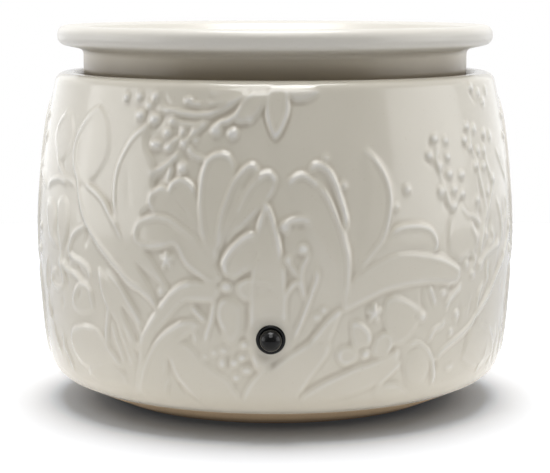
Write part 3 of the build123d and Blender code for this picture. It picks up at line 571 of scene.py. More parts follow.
# Ridges: height, half width, line.
front_ridges = [
    # edges of the leaves on the left
    (0.80, 0.80, [(98, 105), (90, 112), (83, 122), (77, 133), (74, 144), (73, 156), (74, 166), (77, 177),
        (78, 190), (80, 204), (84, 218), (90, 230), (99, 245), (108, 257), (118, 269), (128, 281),
        (139, 288), (147, 296), (153, 304), (156, 310)]),
    (0.75, 0.76, [(156, 310), (150, 320), (143, 333), (139, 344)]),
    (0.90, 0.76, [(82, 179), (92, 187), (98, 193), (103, 200), (107, 208), (112, 218), (117, 228),
        (122, 240)]),
    (0.80, 0.84, [(147, 122), (138, 129), (130, 138), (122, 152), (117, 164), (114, 178), (113, 195),
        (114, 212), (118, 230)]),
    # petals of the flower
    (0.90, 0.80, [(152, 209), (149, 200), (150, 193), (155, 188), (161, 186), (168, 189)]),
    (0.60, 0.67, [(168, 189), (176, 196), (186, 207), (193, 218), (202, 234)]),
    (1.00, 0.80, [(168, 191), (170, 183), (176, 178), (183, 178), (190, 184), (194, 191)]),
    (0.50, 0.63, [(172, 192), (182, 200), (190, 210), (196, 220), (203, 236)]),
    (0.95, 0.84, [(206, 243), (202, 230), (200, 215), (199, 198), (200, 181), (203, 167), (208, 157),
        (215, 153), (222, 152), (229, 156), (234, 164)]),
    (0.95, 0.84, [(217, 243), (218, 230), (221, 212), (226, 198), (231, 185), (238, 173), (245, 166),
        (252, 163), (258, 168), (260, 172)]),
    (0.75, 0.76, [(236, 212), (241, 202), (248, 189), (257, 178)]),
    (1.00, 0.84, [(257, 178), (264, 172), (271, 172), (276, 179)]),
    (0.65, 0.76, [(276, 179), (271, 190), (262, 202), (250, 214), (240, 224), (232, 232)]),
    (0.85, 0.88, [(173, 240), (160, 243), (147, 244), (138, 241), (134, 234), (135, 226), (139, 219),
        (147, 215), (157, 214), (168, 217), (180, 225), (192, 235), (202, 245)]),
    (0.75, 0.84, [(173, 240), (178, 246), (181, 254), (186, 262), (195, 270), (205, 277), (214, 282)]),
    (1.00, 1.01, [(225, 273), (223, 263), (225, 255), (231, 247), (238, 240), (246, 234), (256, 231)]),
    # bud and its stalk
    (1.00, 0.80, [(257, 232), (260, 220), (263, 210), (266, 203), (270, 211), (274, 224), (278, 240),
        (281, 257)]),
    (0.70, 0.67, [(283, 262), (284, 280), (284, 300), (285, 322)]),
    (0.70, 0.63, [(257, 256), (253, 270), (252, 290), (251, 315), (251, 340), (254, 360), (257, 370)]),
    # tall petals right of the middle
    (1.00, 0.84, [(289, 181), (295, 176), (303, 173), (311, 177), (320, 184)]),
    (0.85, 0.80, [(316, 181), (322, 187), (328, 195), (334, 207), (340, 221), (345, 236), (349, 252),
        (350, 268), (349, 284), (346, 301)]),
    (1.00, 0.88, [(311, 169), (315, 163), (322, 163), (330, 169), (337, 182), (342, 197), (346, 211),
        (349, 225)]),
    (0.80, 0.80, [(367, 149), (375, 156), (383, 167), (389, 180), (392, 195), (391, 211), (388, 226),
        (383, 239), (375, 250), (367, 260), (360, 269)]),
    # leaves on the right and their stalks
    (0.90, 0.80, [(392, 231), (398, 227), (406, 224), (416, 223), (426, 224), (433, 228), (437, 235),
        (438, 244), (433, 251)]),
    (0.75, 0.80, [(356, 276), (364, 271), (372, 266), (382, 260), (395, 254), (410, 252), (425, 254),
        (440, 256), (451, 261), (460, 268), (459, 279)]),
    (0.65, 0.84, [(346, 309), (360, 301), (372, 295), (386, 288), (400, 284), (420, 280), (440, 279),
        (456, 281)]),
    (0.80, 0.84, [(343, 309), (334, 316), (327, 323), (320, 332), (312, 341)]),
    (0.65, 0.80, [(312, 341), (300, 349), (288, 356), (276, 363), (262, 371), (251, 383), (245, 394),
        (242, 405)]),
    (0.55, 0.84, [(331, 342), (327, 353), (318, 366), (307, 380), (299, 393)]),
    (0.65, 0.76, [(316, 266), (318, 276), (313, 291), (309, 302), (304, 315), (298, 329), (291, 343)]),
    (0.65, 0.67, [(284, 322), (285, 305), (287, 293), (293, 284), (299, 281), (303, 287), (306, 299)]),
    # leaves and stalks in the low middle
    (0.90, 0.92, [(191, 281), (181, 284), (172, 290), (165, 298), (157, 309)]),
    (0.60, 0.67, [(191, 281), (203, 282), (214, 284)]),
    (0.65, 0.63, [(186, 298), (196, 298), (206, 298), (213, 299)]),
    (0.70, 0.63, [(190, 305), (196, 313), (203, 320)]),
    (0.75, 0.63, [(213, 298), (212, 306), (210, 318), (206, 330), (203, 341)]),
    (0.80, 0.80, [(192, 320), (180, 322), (170, 328), (160, 336), (152, 347), (146, 360), (142, 373),
        (140, 386), (141, 402)]),
    (0.65, 0.67, [(168, 353), (172, 365), (177, 376), (185, 386), (194, 396), (203, 405)]),
    (0.45, 0.67, [(168, 376), (165, 384), (164, 394)]),
    (0.50, 0.62, [(191, 328), (193, 335), (194, 342)]),
    (0.70, 0.71, [(236, 283), (245, 279), (256, 280), (268, 281), (275, 286)]),
    (0.55, 0.67, [(268, 294), (258, 298), (246, 297), (238, 291)]),
    (0.75, 0.76, [(226, 298), (220, 302), (218, 312), (220, 322), (225, 330)]),
    # leaves, buds and stalks low on the right
    (0.50, 0.76, [(388, 326), (387, 312), (390, 299), (400, 298), (411, 303), (421, 310)]),
    (0.75, 0.63, [(431, 285), (434, 293), (437, 303)]),
    (0.70, 0.67, [(509, 205), (510, 224), (507, 244), (502, 262), (497, 275), (492, 288), (486, 300),
        (478, 312), (471, 325), (461, 335), (450, 344), (441, 353), (434, 363)]),
    (0.65, 0.63, [(463, 283), (457, 291), (451, 299), (447, 308)]),
    (0.60, 0.63, [(447, 318), (443, 325), (436, 329), (430, 340)]),
    (0.55, 0.67, [(409, 347), (418, 342), (427, 347), (433, 358), (434, 376)]),
    (0.75, 0.76, [(354, 322), (362, 325), (369, 332), (372, 341)]),
    (0.70, 0.76, [(381, 334), (388, 333), (392, 340), (390, 349), (384, 356)]),
    (0.65, 0.76, [(342, 349), (341, 357), (346, 362), (353, 360)]),
    (0.60, 0.80, [(320, 386), (340, 376), (356, 369), (372, 364), (385, 358), (398, 350)]),
    (0.65, 0.67, [(378, 385), (388, 376), (395, 369), (402, 362)]),
    (0.45, 0.71, [(383, 386), (395, 385), (405, 390), (411, 399)]),
    # leaves low on the left
    (0.65, 0.76, [(72, 346), (71, 335), (74, 328), (85, 326), (95, 330), (102, 339), (108, 349), (115, 358),
        (121, 368)]),
    (0.50, 0.67, [(72, 344), (76, 353), (83, 362)]),
    (0.60, 0.71, [(88, 371), (95, 366), (104, 363), (113, 366), (121, 372)]),
    (0.70, 0.67, [(98, 268), (100, 283), (103, 296), (107, 306), (106, 320), (105, 335), (108, 347)]),
    (0.45, 0.62, [(110, 322), (114, 336), (119, 350), (123, 364)]),
    (0.45, 0.62, [(116, 318), (121, 334), (127, 350), (131, 366)]),
    (0.45, 0.62, [(122, 322), (128, 340), (134, 360)]),
    (0.65, 0.76, [(105, 270), (117, 284), (126, 299), (134, 313), (141, 326)]),
    (0.65, 0.63, [(72, 303), (73, 292), (77, 284), (83, 283), (88, 288), (90, 298), (92, 307)]),
    (0.65, 0.71, [(67, 250), (69, 240), (72, 232), (77, 227), (84, 223)]),
    (0.55, 0.67, [(67, 250), (73, 257), (81, 262), (87, 269), (88, 278)]),
    # stalks and tips at the left edge
    (0.60, 0.63, [(60, 250), (59, 259), (63, 266), (72, 272), (81, 281)]),
    (0.55, 0.63, [(56, 267), (51, 271), (51, 279), (56, 286), (62, 284)]),
    (0.55, 0.63, [(57, 258), (61, 270), (62, 282)]),
    (0.55, 0.71, [(46, 255), (45, 270), (46, 288)]),
    (0.60, 0.76, [(47, 183), (51, 178), (58, 176), (66, 181)]),
    (0.50, 0.84, [(66, 110), (60, 118), (56, 128)]),
    (0.45, 0.76, [(56, 150), (58, 163), (64, 174), (73, 182)]),
    (0.55, 0.76, [(43, 150), (41, 168), (45, 184)]),
    (0.65, 0.84, [(47, 292), (48, 306), (52, 322), (56, 338), (60, 352)]),
    (0.60, 0.76, [(62, 333), (64, 346), (68, 356), (73, 369)]),
    # sprig that hangs from the lip
    (0.80, 0.63, [(252, 90), (240, 97), (226, 104), (210, 111), (195, 113), (180, 111), (167, 108),
        (157, 107)]),
    (0.65, 0.62, [(205, 101), (218, 101), (232, 98), (246, 91)]),
    (0.90, 0.71, [(254, 90), (246, 97), (240, 104), (235, 113), (227, 119), (219, 121), (212, 126)]),
    (0.60, 0.62, [(206, 121), (196, 128), (188, 135), (182, 143)]),
    (0.60, 0.62, [(205, 119), (192, 122), (181, 121), (172, 118)]),
    (0.60, 0.62, [(183, 97), (190, 101), (200, 103)]),
    (1.00, 0.67, [(270, 88), (267, 103), (268, 116), (271, 127), (275, 134), (280, 129), (285, 118),
        (288, 106), (286, 88)]),
    (0.75, 0.67, [(177, 151), (168, 160), (158, 167), (145, 172)]),
    (0.65, 0.62, [(170, 163), (168, 171), (166, 179)]),
    (0.65, 0.62, [(179, 134), (171, 140), (163, 147)]),
    (0.65, 0.67, [(187, 143), (190, 151), (199, 156), (209, 157)]),
    # small tips in the middle
    (0.85, 0.88, [(281, 226), (288, 220), (300, 217), (312, 219)]),
    (0.60, 0.63, [(309, 250), (307, 258), (303, 266), (302, 276), (304, 288)]),
    (0.55, 0.63, [(288, 256), (291, 264), (299, 275)]),
    # sprigs on the right
    (0.50, 0.62, [(452, 206), (449, 192), (444, 176), (438, 158), (440, 142)]),
    (0.45, 0.62, [(463, 190), (459, 197), (456, 206)]),
    (0.50, 0.62, [(486, 222), (488, 208), (485, 190), (481, 174), (478, 158), (472, 142), (471, 128)]),
    (0.45, 0.62, [(489, 212), (492, 196), (494, 180), (488, 160), (484, 140)]),
    (0.60, 0.67, [(463, 203), (468, 211), (476, 215), (482, 221)]),
    (0.55, 0.63, [(482, 250), (484, 236), (486, 222)]),
    (0.55, 0.63, [(472, 222), (476, 231), (479, 241)]),
    (0.55, 0.63, [(500, 241), (492, 248), (485, 256), (480, 268)]),
    (0.55, 0.63, [(498, 196), (501, 208), (503, 224), (502, 240)]),
    (0.50, 0.62, [(493, 226), (495, 236), (490, 243)]),
    (0.50, 0.63, [(507, 192), (508, 206), (507, 220)]),
    (0.50, 0.62, [(458, 258), (464, 256), (469, 250)]),
    (0.50, 0.62, [(473, 250), (477, 257), (474, 266)]),
    (0.50, 0.62, [(489, 258), (488, 268), (489, 280)]),
    (0.50, 0.62, [(504, 244), (505, 256), (501, 266)]),
    (0.60, 0.63, [(489, 324), (493, 337), (492, 352), (488, 364)]),
    (0.45, 0.63, [(482, 319), (471, 331), (466, 348), (463, 361)]),
    (0.60, 0.62, [(484, 282), (480, 294), (478, 308)]),
    (0.55, 0.67, [(487, 344), (485, 354), (480, 362), (477, 372)]),
    (0.50, 0.67, [(503, 322), (501, 338), (498, 356)]),
    (0.55, 0.67, [(497, 146), (502, 160), (507, 176)]),
    (0.50, 0.67, [(506, 140), (508, 156)]),
    (0.80, 0.67, [(428, 349), (433, 358), (435, 372), (433, 384)]),
]

# Small stars: middle, and the tips of the arms.
front_stars = [
    ((165, 258), [(165, 250), (171, 255), (169, 265), (161, 265), (159, 255)]),
    ((376, 312), [(376, 303), (383, 309), (380, 319), (372, 319), (369, 309)]),
]
star_height = 0.85
star_half_width = 0.63

# Grooves: depth, half width, line.
front_grooves = [
    (0.75, 1.20, [(284, 352), (277, 359), (269, 366)]),
    (0.24, 0.90, [(297, 400), (306, 391), (316, 383), (330, 376), (345, 371), (356, 365)]),
    (0.22, 0.80, [(318, 324), (311, 335), (301, 345), (290, 353)]),
    (0.18, 0.80, [(317, 343), (324, 342), (331, 340)]),
    (0.25, 0.90, [(175, 380), (179, 388), (184, 398)]),
    (0.18, 0.90, [(165, 354), (166, 366), (163, 384)]),
    (0.22, 0.90, [(168, 324), (178, 319), (189, 317)]),
    (0.18, 0.80, [(204, 117), (190, 118), (176, 115)]),
    (0.16, 0.70, [(185, 107), (200, 108), (219, 105)]),
    (0.30, 0.90, [(238, 103), (226, 111), (213, 118), (203, 127), (196, 136)]),
    (0.22, 0.80, [(269, 92), (266, 101), (263, 107), (256, 113)]),
    (0.22, 0.80, [(235, 122), (243, 123), (250, 121)]),
    (0.22, 0.80, [(288, 95), (296, 101), (308, 100)]),
    (0.25, 0.90, [(162, 110), (162, 116), (156, 122), (154, 126)]),
    (0.20, 0.90, [(124, 102), (133, 104), (141, 103)]),
    (0.20, 0.90, [(148, 108), (144, 113), (142, 118)]),
    (0.20, 0.90, [(162, 92), (164, 99), (168, 104)]),
    (0.22, 0.80, [(172, 132), (176, 134), (178, 128)]),
    (0.22, 0.90, [(152, 150), (162, 151), (170, 149)]),
    (0.25, 0.90, [(172, 158), (173, 168), (173, 176)]),
    (0.25, 1.00, [(152, 180), (158, 177), (163, 172)]),
    (0.22, 0.90, [(180, 151), (184, 154), (187, 158)]),
    (0.20, 1.00, [(72, 116), (73, 130), (69, 146), (62, 158), (62, 166), (67, 174)]),
    (0.22, 0.80, [(65, 196), (67, 212), (66, 232), (61, 248)]),
    (0.20, 0.70, [(55, 204), (55, 224)]),
    (0.28, 0.90, [(84, 226), (85, 234), (83, 243)]),
    (0.32, 1.00, [(76, 261), (78, 270), (84, 277)]),
    (0.30, 1.10, [(67, 254), (66, 261)]),
    (0.30, 0.90, [(62, 268), (65, 277), (66, 285)]),
    (0.28, 0.90, [(49, 262), (48, 272), (49, 286)]),
    (0.22, 0.80, [(56, 271), (56, 276)]),
    (0.25, 0.90, [(79, 288), (77, 297)]),
    (0.22, 0.90, [(61, 296), (61, 306)]),
    (0.35, 1.00, [(50, 304), (51, 318), (53, 332)]),
    (0.22, 0.80, [(59, 334), (61, 346)]),
    (0.28, 0.90, [(64, 352), (69, 362)]),
    (0.22, 0.90, [(125, 372), (114, 365), (102, 362)]),
    (0.18, 0.90, [(90, 328), (98, 333), (103, 340)]),
    (0.22, 0.90, [(146, 128), (145, 142), (150, 156)]),
    (0.14, 1.20, [(126, 168), (127, 190), (128, 206)]),
    (0.20, 0.90, [(104, 192), (110, 204), (116, 220), (121, 233)]),
    (0.18, 1.00, [(137, 350), (138, 370), (140, 388)]),
    (0.28, 0.90, [(152, 211), (166, 212), (178, 220), (190, 231), (199, 240)]),
    (0.16, 0.80, [(147, 221), (160, 221), (172, 226)]),
    (0.18, 0.80, [(172, 194), (180, 204), (187, 214)]),
    (0.22, 1.10, [(253, 170), (247, 178), (241, 188)]),
    (0.30, 1.10, [(243, 222), (232, 233), (224, 245), (218, 259)]),
    (0.32, 1.10, [(248, 270), (242, 276), (235, 280)]),
    (0.22, 1.20, [(245, 302), (245, 320), (244, 337)]),
    (0.25, 0.90, [(214, 318), (217, 326), (219, 334)]),
    (0.30, 0.90, [(237, 339), (243, 338), (248, 340)]),
    (0.28, 0.90, [(241, 363), (248, 362), (252, 365)]),
    (0.25, 0.80, [(227, 356), (227, 367)]),
    (0.22, 0.80, [(234, 353), (238, 352)]),
    (0.20, 0.90, [(231, 383), (236, 391)]),
    (0.22, 0.90, [(320, 171), (328, 182), (334, 194), (341, 212), (345, 232)]),
    (0.24, 0.90, [(440, 250), (425, 248), (408, 249), (394, 252), (380, 259), (369, 266), (360, 273)]),
    (0.20, 0.90, [(306, 224), (298, 226)]),
    (0.20, 0.90, [(300, 250), (298, 257)]),
    (0.20, 0.90, [(282, 228), (283, 240), (283, 254)]),
    (0.22, 0.90, [(369, 304), (368, 311), (370, 319)]),
    (0.22, 0.80, [(351, 319), (352, 332), (352, 343), (341, 344)]),
    (0.22, 0.80, [(377, 334), (385, 331), (392, 333)]),
    (0.28, 1.00, [(383, 357), (391, 352), (400, 347)]),
    (0.20, 0.80, [(361, 347), (369, 346)]),
    (0.18, 0.80, [(374, 336), (374, 344)]),
    (0.24, 1.00, [(392, 295), (387, 302), (387, 315), (386, 330)]),
    (0.26, 1.00, [(424, 286), (424, 299), (427, 309)]),
    (0.26, 0.90, [(454, 282), (452, 290)]),
    (0.24, 0.90, [(417, 312), (417, 318)]),
    (0.22, 0.90, [(437, 358), (439, 370)]),
    (0.18, 0.90, [(404, 348), (403, 362), (405, 378)]),
    (0.18, 0.80, [(391, 381), (401, 379)]),
    (0.22, 0.80, [(470, 332), (466, 346), (463, 359)]),
    (0.20, 0.80, [(475, 325), (484, 321)]),
    (0.28, 0.80, [(499, 322), (498, 336), (495, 350), (492, 366)]),
    (0.30, 0.80, [(491, 274), (488, 286), (485, 296), (481, 304)]),
    (0.24, 0.70, [(474, 294), (473, 304), (470, 316)]),
    (0.20, 0.90, [(461, 300), (462, 315), (458, 328)]),
    (0.28, 0.90, [(430, 138), (432, 145)]),
    (0.26, 0.90, [(425, 155), (430, 159), (435, 165)]),
    (0.28, 0.90, [(444, 171), (446, 182)]),
    (0.28, 1.10, [(446, 200), (449, 207)]),
    (0.28, 0.90, [(465, 127), (468, 131)]),
    (0.26, 0.80, [(463, 141), (469, 147)]),
    (0.30, 0.80, [(475, 142), (478, 155)]),
    (0.30, 0.80, [(483, 132), (485, 140)]),
    (0.30, 0.90, [(470, 86), (477, 99)]),
    (0.28, 0.80, [(480, 173), (482, 185), (485, 199)]),
    (0.30, 0.90, [(481, 206), (483, 217)]),
    (0.30, 0.90, [(476, 222), (480, 230)]),
    (0.24, 0.90, [(501, 152), (505, 163), (508, 174)]),
    (0.26, 0.80, [(504, 200), (505, 216)]),
    (0.22, 0.80, [(507, 222), (508, 238)]),
    (0.28, 0.90, [(490, 240), (486, 247)]),
    (0.28, 0.90, [(472, 253), (472, 261)]),
    (0.26, 0.80, [(492, 262), (491, 274)]),
    (0.28, 0.80, [(501, 250), (499, 264), (496, 272)]),
    (0.24, 0.80, [(503, 280), (503, 289)]),
    (0.26, 0.80, [(514, 240), (513, 250)]),
    (0.26, 0.80, [(492, 214), (490, 228), (488, 236)]),
    (0.26, 0.90, [(499, 232), (497, 240)]),
    (0.24, 0.80, [(491, 172), (492, 180)]),
    (0.20, 1.00, [(451, 212), (449, 230), (450, 250)]),
    (0.24, 0.90, [(290, 98), (289, 114), (284, 128), (277, 139), (270, 131), (265, 116), (265, 104)]),
    (0.22, 0.90, [(205, 118), (214, 112), (226, 103)]),
]

# Berries and buds: middle, radius across, radius up in pixels, height.
front_domes = [
    (125, 95, 4.4, 5.2, 0.62), (138, 94, 4.4, 5.2, 0.62), (154, 94, 4.8, 5.8, 0.65),
    (148, 103, 4.6, 4.4, 0.6), (139, 113, 6.2, 6, 0.8), (153, 117, 6.6, 6.2, 0.85),
    (187, 98, 5.4, 4.2, 0.62), (171, 119, 4.8, 4.2, 0.68), (166, 130, 5, 5.2, 0.7),
    (154, 142, 6.8, 4.8, 0.78), (167, 146, 5, 3.8, 0.65), (181, 129, 3.8, 5.4, 0.62),
    (193, 129, 3.8, 5.4, 0.62), (182, 141, 4.6, 4.4, 0.72), (194, 138, 4.2, 3.4, 0.6),
    (181, 166, 5.4, 7, 0.68), (151, 174, 4.2, 3.6, 0.5), (215, 128, 6.6, 6.6, 0.9), (232, 131, 6.8, 7, 0.9),
    (249, 117, 5, 4.4, 0.75), (285, 225, 6.6, 6, 0.8), (304, 247, 5.6, 5.4, 0.85),
    (288, 258, 4.6, 5.2, 0.6), (225, 285, 6.6, 6.4, 0.8), (160, 290, 4.8, 6, 0.62),
    (367, 353, 5.4, 5.8, 0.72), (327, 156, 4.8, 4.8, 0.42), (345, 183, 5.2, 4.8, 0.5),
    (409, 187, 4.8, 5.4, 0.48), (398, 204, 3.8, 4.2, 0.45), (419, 366, 15, 24, 0.62),
    (436, 136, 4.8, 5.2, 0.62), (447, 138, 4.2, 5, 0.55), (431, 153, 4.8, 5, 0.58),
    (449, 154, 4.2, 5.4, 0.6), (441, 163, 4.2, 5.2, 0.58), (451, 171, 4.4, 5.4, 0.65),
    (463, 172, 4.4, 5.4, 0.58), (443, 189, 4.8, 6.4, 0.6), (456, 187, 4.2, 5.4, 0.58),
    (464, 191, 3.8, 5.2, 0.58), (455, 204, 4.4, 6.2, 0.65), (468, 124, 3.8, 4.8, 0.62),
    (475, 126, 3.4, 4.8, 0.6), (466, 137, 3.6, 5, 0.6), (471, 145, 3.6, 5, 0.58),
    (485, 131, 3.4, 5.2, 0.58), (491, 133, 3, 4.8, 0.55), (479, 148, 3.4, 5.4, 0.58),
    (485, 147, 3, 5.2, 0.55), (477, 163, 3.6, 5.2, 0.58), (485, 163, 3.2, 5.2, 0.55),
    (494, 176, 3.2, 5.4, 0.58), (489, 188, 3, 5, 0.5), (479, 197, 3.2, 5, 0.5), (472, 85, 3.6, 3.6, 0.6),
    (479, 90, 3.4, 4.6, 0.6), (484, 99, 3.2, 4.6, 0.58), (487, 88, 2.8, 4, 0.5), (244, 344, 5, 4.6, 0.6),
    (235, 377, 4.8, 4.2, 0.62), (241, 357, 4.8, 4.6, 0.6), (222, 350, 5.2, 4.4, 0.5),
    (233, 362, 5.2, 5.4, 0.6), (221, 362, 4, 7, 0.6), (246, 370, 6.4, 4, 0.55), (213, 352, 4.6, 5, 0.4),
    (203, 356, 5, 5, 0.35), (458, 313, 3.6, 5.4, 0.55), (424, 316, 4.6, 5.6, 0.58), (452, 331, 3.4, 5, 0.5),
    (445, 292, 4.2, 4.4, 0.45), (325, 309, 4.4, 3.8, 0.55), (318, 316, 5.6, 4.8, 0.5),
    (62, 262, 3.4, 5, 0.45), (84, 292, 3.4, 5.4, 0.35), (499, 242, 3.2, 5, 0.5), (482, 262, 3.6, 6, 0.45),
    (474, 272, 3.8, 5.4, 0.45), (468, 262, 3.8, 6, 0.4), (488, 232, 3.2, 5, 0.45), (512, 228, 2.4, 6, 0.5),
    (450, 366, 6, 5, 0.35), (165, 258, 3, 3, 0.7), (376, 312, 3, 3, 0.75),
]

# The scale of their radii, at the front of the body.
pixels_to_a_millimetre = 4.25

# Shapes between the front and its repeat at the back, unrolled: millimetres from the middle of that strip
# and heights. Low slabs, ridges and berries as above.
strip_slabs = [
    (0.45, 0.9, [(-3, 78), (-8, 68), (-10, 56), (-7, 44), (-2, 34), (1, 44), (3, 56), (1, 68)]),
    (0.45, 0.9, [(5, 12), (12, 22), (16, 36), (15, 50), (10, 58), (7, 46), (4, 32), (3, 20)]),
    (0.40, 0.9, [(-4, 10), (-10, 18), (-13, 28), (-10, 36), (-6, 28), (-3, 18)]),
]
strip_ridges = [
    (0.85, 1.05, [(-2, 33), (-7, 44), (-10, 56), (-8, 68), (-3, 78)]),
    (0.70, 1.05, [(-3, 78), (1, 68), (3, 56), (1, 44), (-2, 33)]),
    (0.50, 0.90, [(-3, 74), (-4, 60), (-4, 46), (-2, 34)]),
    (0.85, 1.05, [(5, 12), (12, 22), (16, 36), (15, 50), (10, 58)]),
    (0.70, 1.05, [(10, 58), (7, 46), (4, 32), (3, 20), (5, 12)]),
    (0.70, 1.00, [(-4, 10), (-10, 18), (-13, 28), (-10, 36)]),
    (0.60, 0.90, [(-2, 34), (0, 24), (1, 14), (3, 8)]),
    (0.60, 0.90, [(6, 78), (8, 70), (7, 62), (10, 58)]),
]
strip_domes = [
    (7, 80, 1.3, 1.3, 0.8), (10, 76, 1.4, 1.3, 0.85), (6, 73, 1.2, 1.3, 0.75), (11, 69, 1.3, 1.4, 0.8),
    (5, 66, 1.2, 1.2, 0.75), (-12, 74, 1.3, 1.4, 0.8), (-14, 69, 1.2, 1.3, 0.75), (-13, 40, 1.3, 1.3, 0.8),
    (-15, 46, 1.2, 1.3, 0.75), (17, 60, 1.3, 1.4, 0.8), (15, 66, 1.2, 1.2, 0.75), (-1, 22, 1.4, 1.4, 0.8),
]

# Heights between which the relief, and the glaze's tones on it, come in; those tones are partly thin and
# pooled glaze and partly painted highlight and painted shade
relief_top = (84.3, 82.9)
relief_foot = (6.0, 13.0)
tones_foot = (6.0, 9.0)


def star_arms():
    """Ridges of the small stars: each runs straight from the middle to the tip of an arm."""
    return [
        (star_height, star_half_width, [(x, y), ((x + tip_x) / 2, (y + tip_y) / 2), (tip_x, tip_y)])
        for (x, y), tips in front_stars
        for tip_x, tip_y in tips
    ]


def carve(places):
    """Height of the relief at unrolled places: the front's shapes, the same ones turned half way round
    for the back, and the strips between them on both sides, faded at the lip, the heel and the seats."""
    relief = Relief(places)
    fronts = (0, -half_turn, half_turn)
    strips = [(side * half_turn / 2, side) for side in (-1, 1)]
    slabs = [(h, edge, onto_side(line)) for h, edge, line in front_slabs]
    ridges = [(h, width, onto_side(spline(line))) for h, width, line in front_ridges + star_arms()]
    grooves = [(h, width, onto_side(spline(line))) for h, width, line in front_grooves]
    domes = [
        (*onto_side([(x, y)])[0], a / pixels_to_a_millimetre, b / pixels_to_a_millimetre, h)
        for x, y, a, b, h in front_domes
    ]
    for shift in fronts:
        for height, edge, line in slabs:
            relief.slab(line + (shift, 0), height, edge)
    for shift, flip in strips:
        for height, edge, line in strip_slabs:
            relief.slab(np.array(line) * (flip, 1) + (shift, 0), height, edge)
    for shift in fronts:
        for height, width, line in ridges:
            relief.ridge(line + (shift, 0), height, width)
        for x, y, a, b, height in domes:
            # the side turns away from the camera, so its berries look narrower than they are
            stretch = 1 / max(0.45, math.cos(x / unroll_radius))
            relief.dome(x + shift, y, a * stretch, b, height)
        for depth, width, line in grooves:
            relief.groove(line + (shift, 0), depth, width)
    for shift, flip in strips:
        for height, width, line in strip_ridges:
            relief.ridge(spline(np.array(line) * (flip, 1) + (shift, 0)), height, width)
        for x, y, a, b, height in strip_domes:
            relief.dome(x * flip + shift, y, a, b, height)
    height = relief.height * ease(*relief_top, places[:, 1]) * ease(*relief_foot, places[:, 1])
    return height * away_from_seats(places, start=0.0, reach=2.4)


def away_from_seats(places, start, reach):
    """0 at the button's and the gland's seat and 1 away from them: it begins to rise at start from the
    seat's rim, and its rise is reach wide."""
    across = button_x * unroll_radius / side_radius(button_height)
    share = 1.0
    seats = ((across, button_height, button_seat_radius), (half_turn, gland_height, gland_seat_radius))
    for x, y, rim in seats:
        gap = np.abs((places[:, 0] - x + half_turn) % (2 * half_turn) - half_turn)
        share = share * ease(rim + start, rim + start + reach, np.hypot(gap, places[:, 1] - y))
    return share


# The carved body


def blurred(grid, times):
    """The grid with each height replaced by the mean of its neighbours', so many times."""
    for _ in range(times):
        padded = np.concatenate([grid[:1], grid, grid[-1:]])
        grid = (padded[:-2] + 2 * grid + padded[2:]) / 4
        grid = (np.roll(grid, 1, axis=1) + 2 * grid + np.roll(grid, -1, axis=1)) / 4
    return grid


def body_columns():
    """Angles of the columns outside, a multiple of three in number: the gap between two grows from the
    front to the back, as spacing does in millimetres, and both sides are alike."""
    turn = np.linspace(0, math.pi, 2000)
    spacing = 0.44 + 0.30 * ease(0.9, 1.6, turn) + 0.22 * ease(1.6, 2.0, turn)
    counted = np.concatenate([[0], np.cumsum((1 / spacing[1:] + 1 / spacing[:-1]) / 2)])
    half = 3 * round(counted[-1] * (turn[1] * belly[0]) / 3)
    side = np.interp(np.arange(half + 1) / half, counted / counted[-1], turn)
    return np.unwrap(np.concatenate([side, -side[1:-1][::-1]])) % (2 * math.pi)


def stitches(fine_start, coarse_start, count, coarse_is_next):
    """Triangles between a ring of 3 * count points and a ring of count points, four to each coarse step.
    The coarse ring is next in the profile, or else the one before."""
    here = np.arange(count)
    a, b, c, d = (fine_start + (3 * here + n) % (3 * count) for n in range(4))
    left, right = coarse_start + here, coarse_start + (here + 1) % count
    sides = ((a, b, left), (b, c, left), (c, right, left), (c, d, right))
    return np.concatenate([np.stack(side if coarse_is_next else side[::-1], axis=1) for side in sides])


def carved_body():
    """The body: fine columns outside, a third as many inside. The outside's points stand off their
    profile along its normal by the relief's height. The glaze reads two numbers of each vertex: rise, how
    far it stands above its surroundings, and glazed, 1 under the glaze and 0 on bare clay."""
    profile = outer_profile(row_step)
    way = np.gradient(profile, axis=0)
    normal = np.stack([way[:, 1], -way[:, 0]], axis=1) / np.hypot(way[:, 0], way[:, 1])[:, None]
    angles = body_columns()
    rows, columns = len(profile), len(angles)
    unrolled = (angles + math.pi) % (2 * math.pi) - math.pi
    places = np.stack(np.broadcast_arrays(unrolled * unroll_radius, profile[:, 1:]), axis=2).reshape(-1, 2)
    height = carve(places).reshape(rows, columns)
    height[-rows_in_mouth:] = 0
    height = blurred(height, times=1)
    radii, heights = profile.T[:, :, None] + normal.T[:, :, None] * height
    fine = ring_points(radii, heights, angles)
    inside = inner_profile()
    coarse = ring_points(inside[:, :1], inside[:, 1:], angles[::3])
    count, first = columns // 3, len(fine)
    quads = [ring_quads(rows, columns), ring_quads(len(inside), count, first)]
    triangles = [
        stitches(first - columns, first, count, coarse_is_next=True),
        stitches(0, first + len(coarse) - count, count, coarse_is_next=False),
    ]
    faces = np.concatenate(quads), np.concatenate(triangles)
    piece = fill_mesh("carved_body", np.concatenate([fine, coarse]), *faces, body_edge_angle)
    away = away_from_seats(places, start=0.6, reach=2.0).reshape(rows, columns)
    # the glaze turns raised places paler and hollows darker by this: partly thin and pooled glaze, partly
    # painted highlight and painted shade
    rise = (height - blurred(height, times=5)) * away * ease(*tones_foot, profile[:, 1:])
    store(piece, "rise", np.concatenate([rise.ravel(), np.zeros(len(coarse))]))
    # the glaze reaches into the mouth, to the ledge's inner edge
    glazed_inside = np.repeat(np.arange(len(inside)) < 3, count)
    store(piece, "glazed", np.concatenate([np.ones(len(fine)), glazed_inside]))
    drill(piece, button_x, -side_radius(button_height), button_height, button_hole_radius)
    drill(piece, 0, side_radius(gland_height), gland_height, gland_hole_radius)
    smooth(piece.data, body_edge_angle)
    return piece


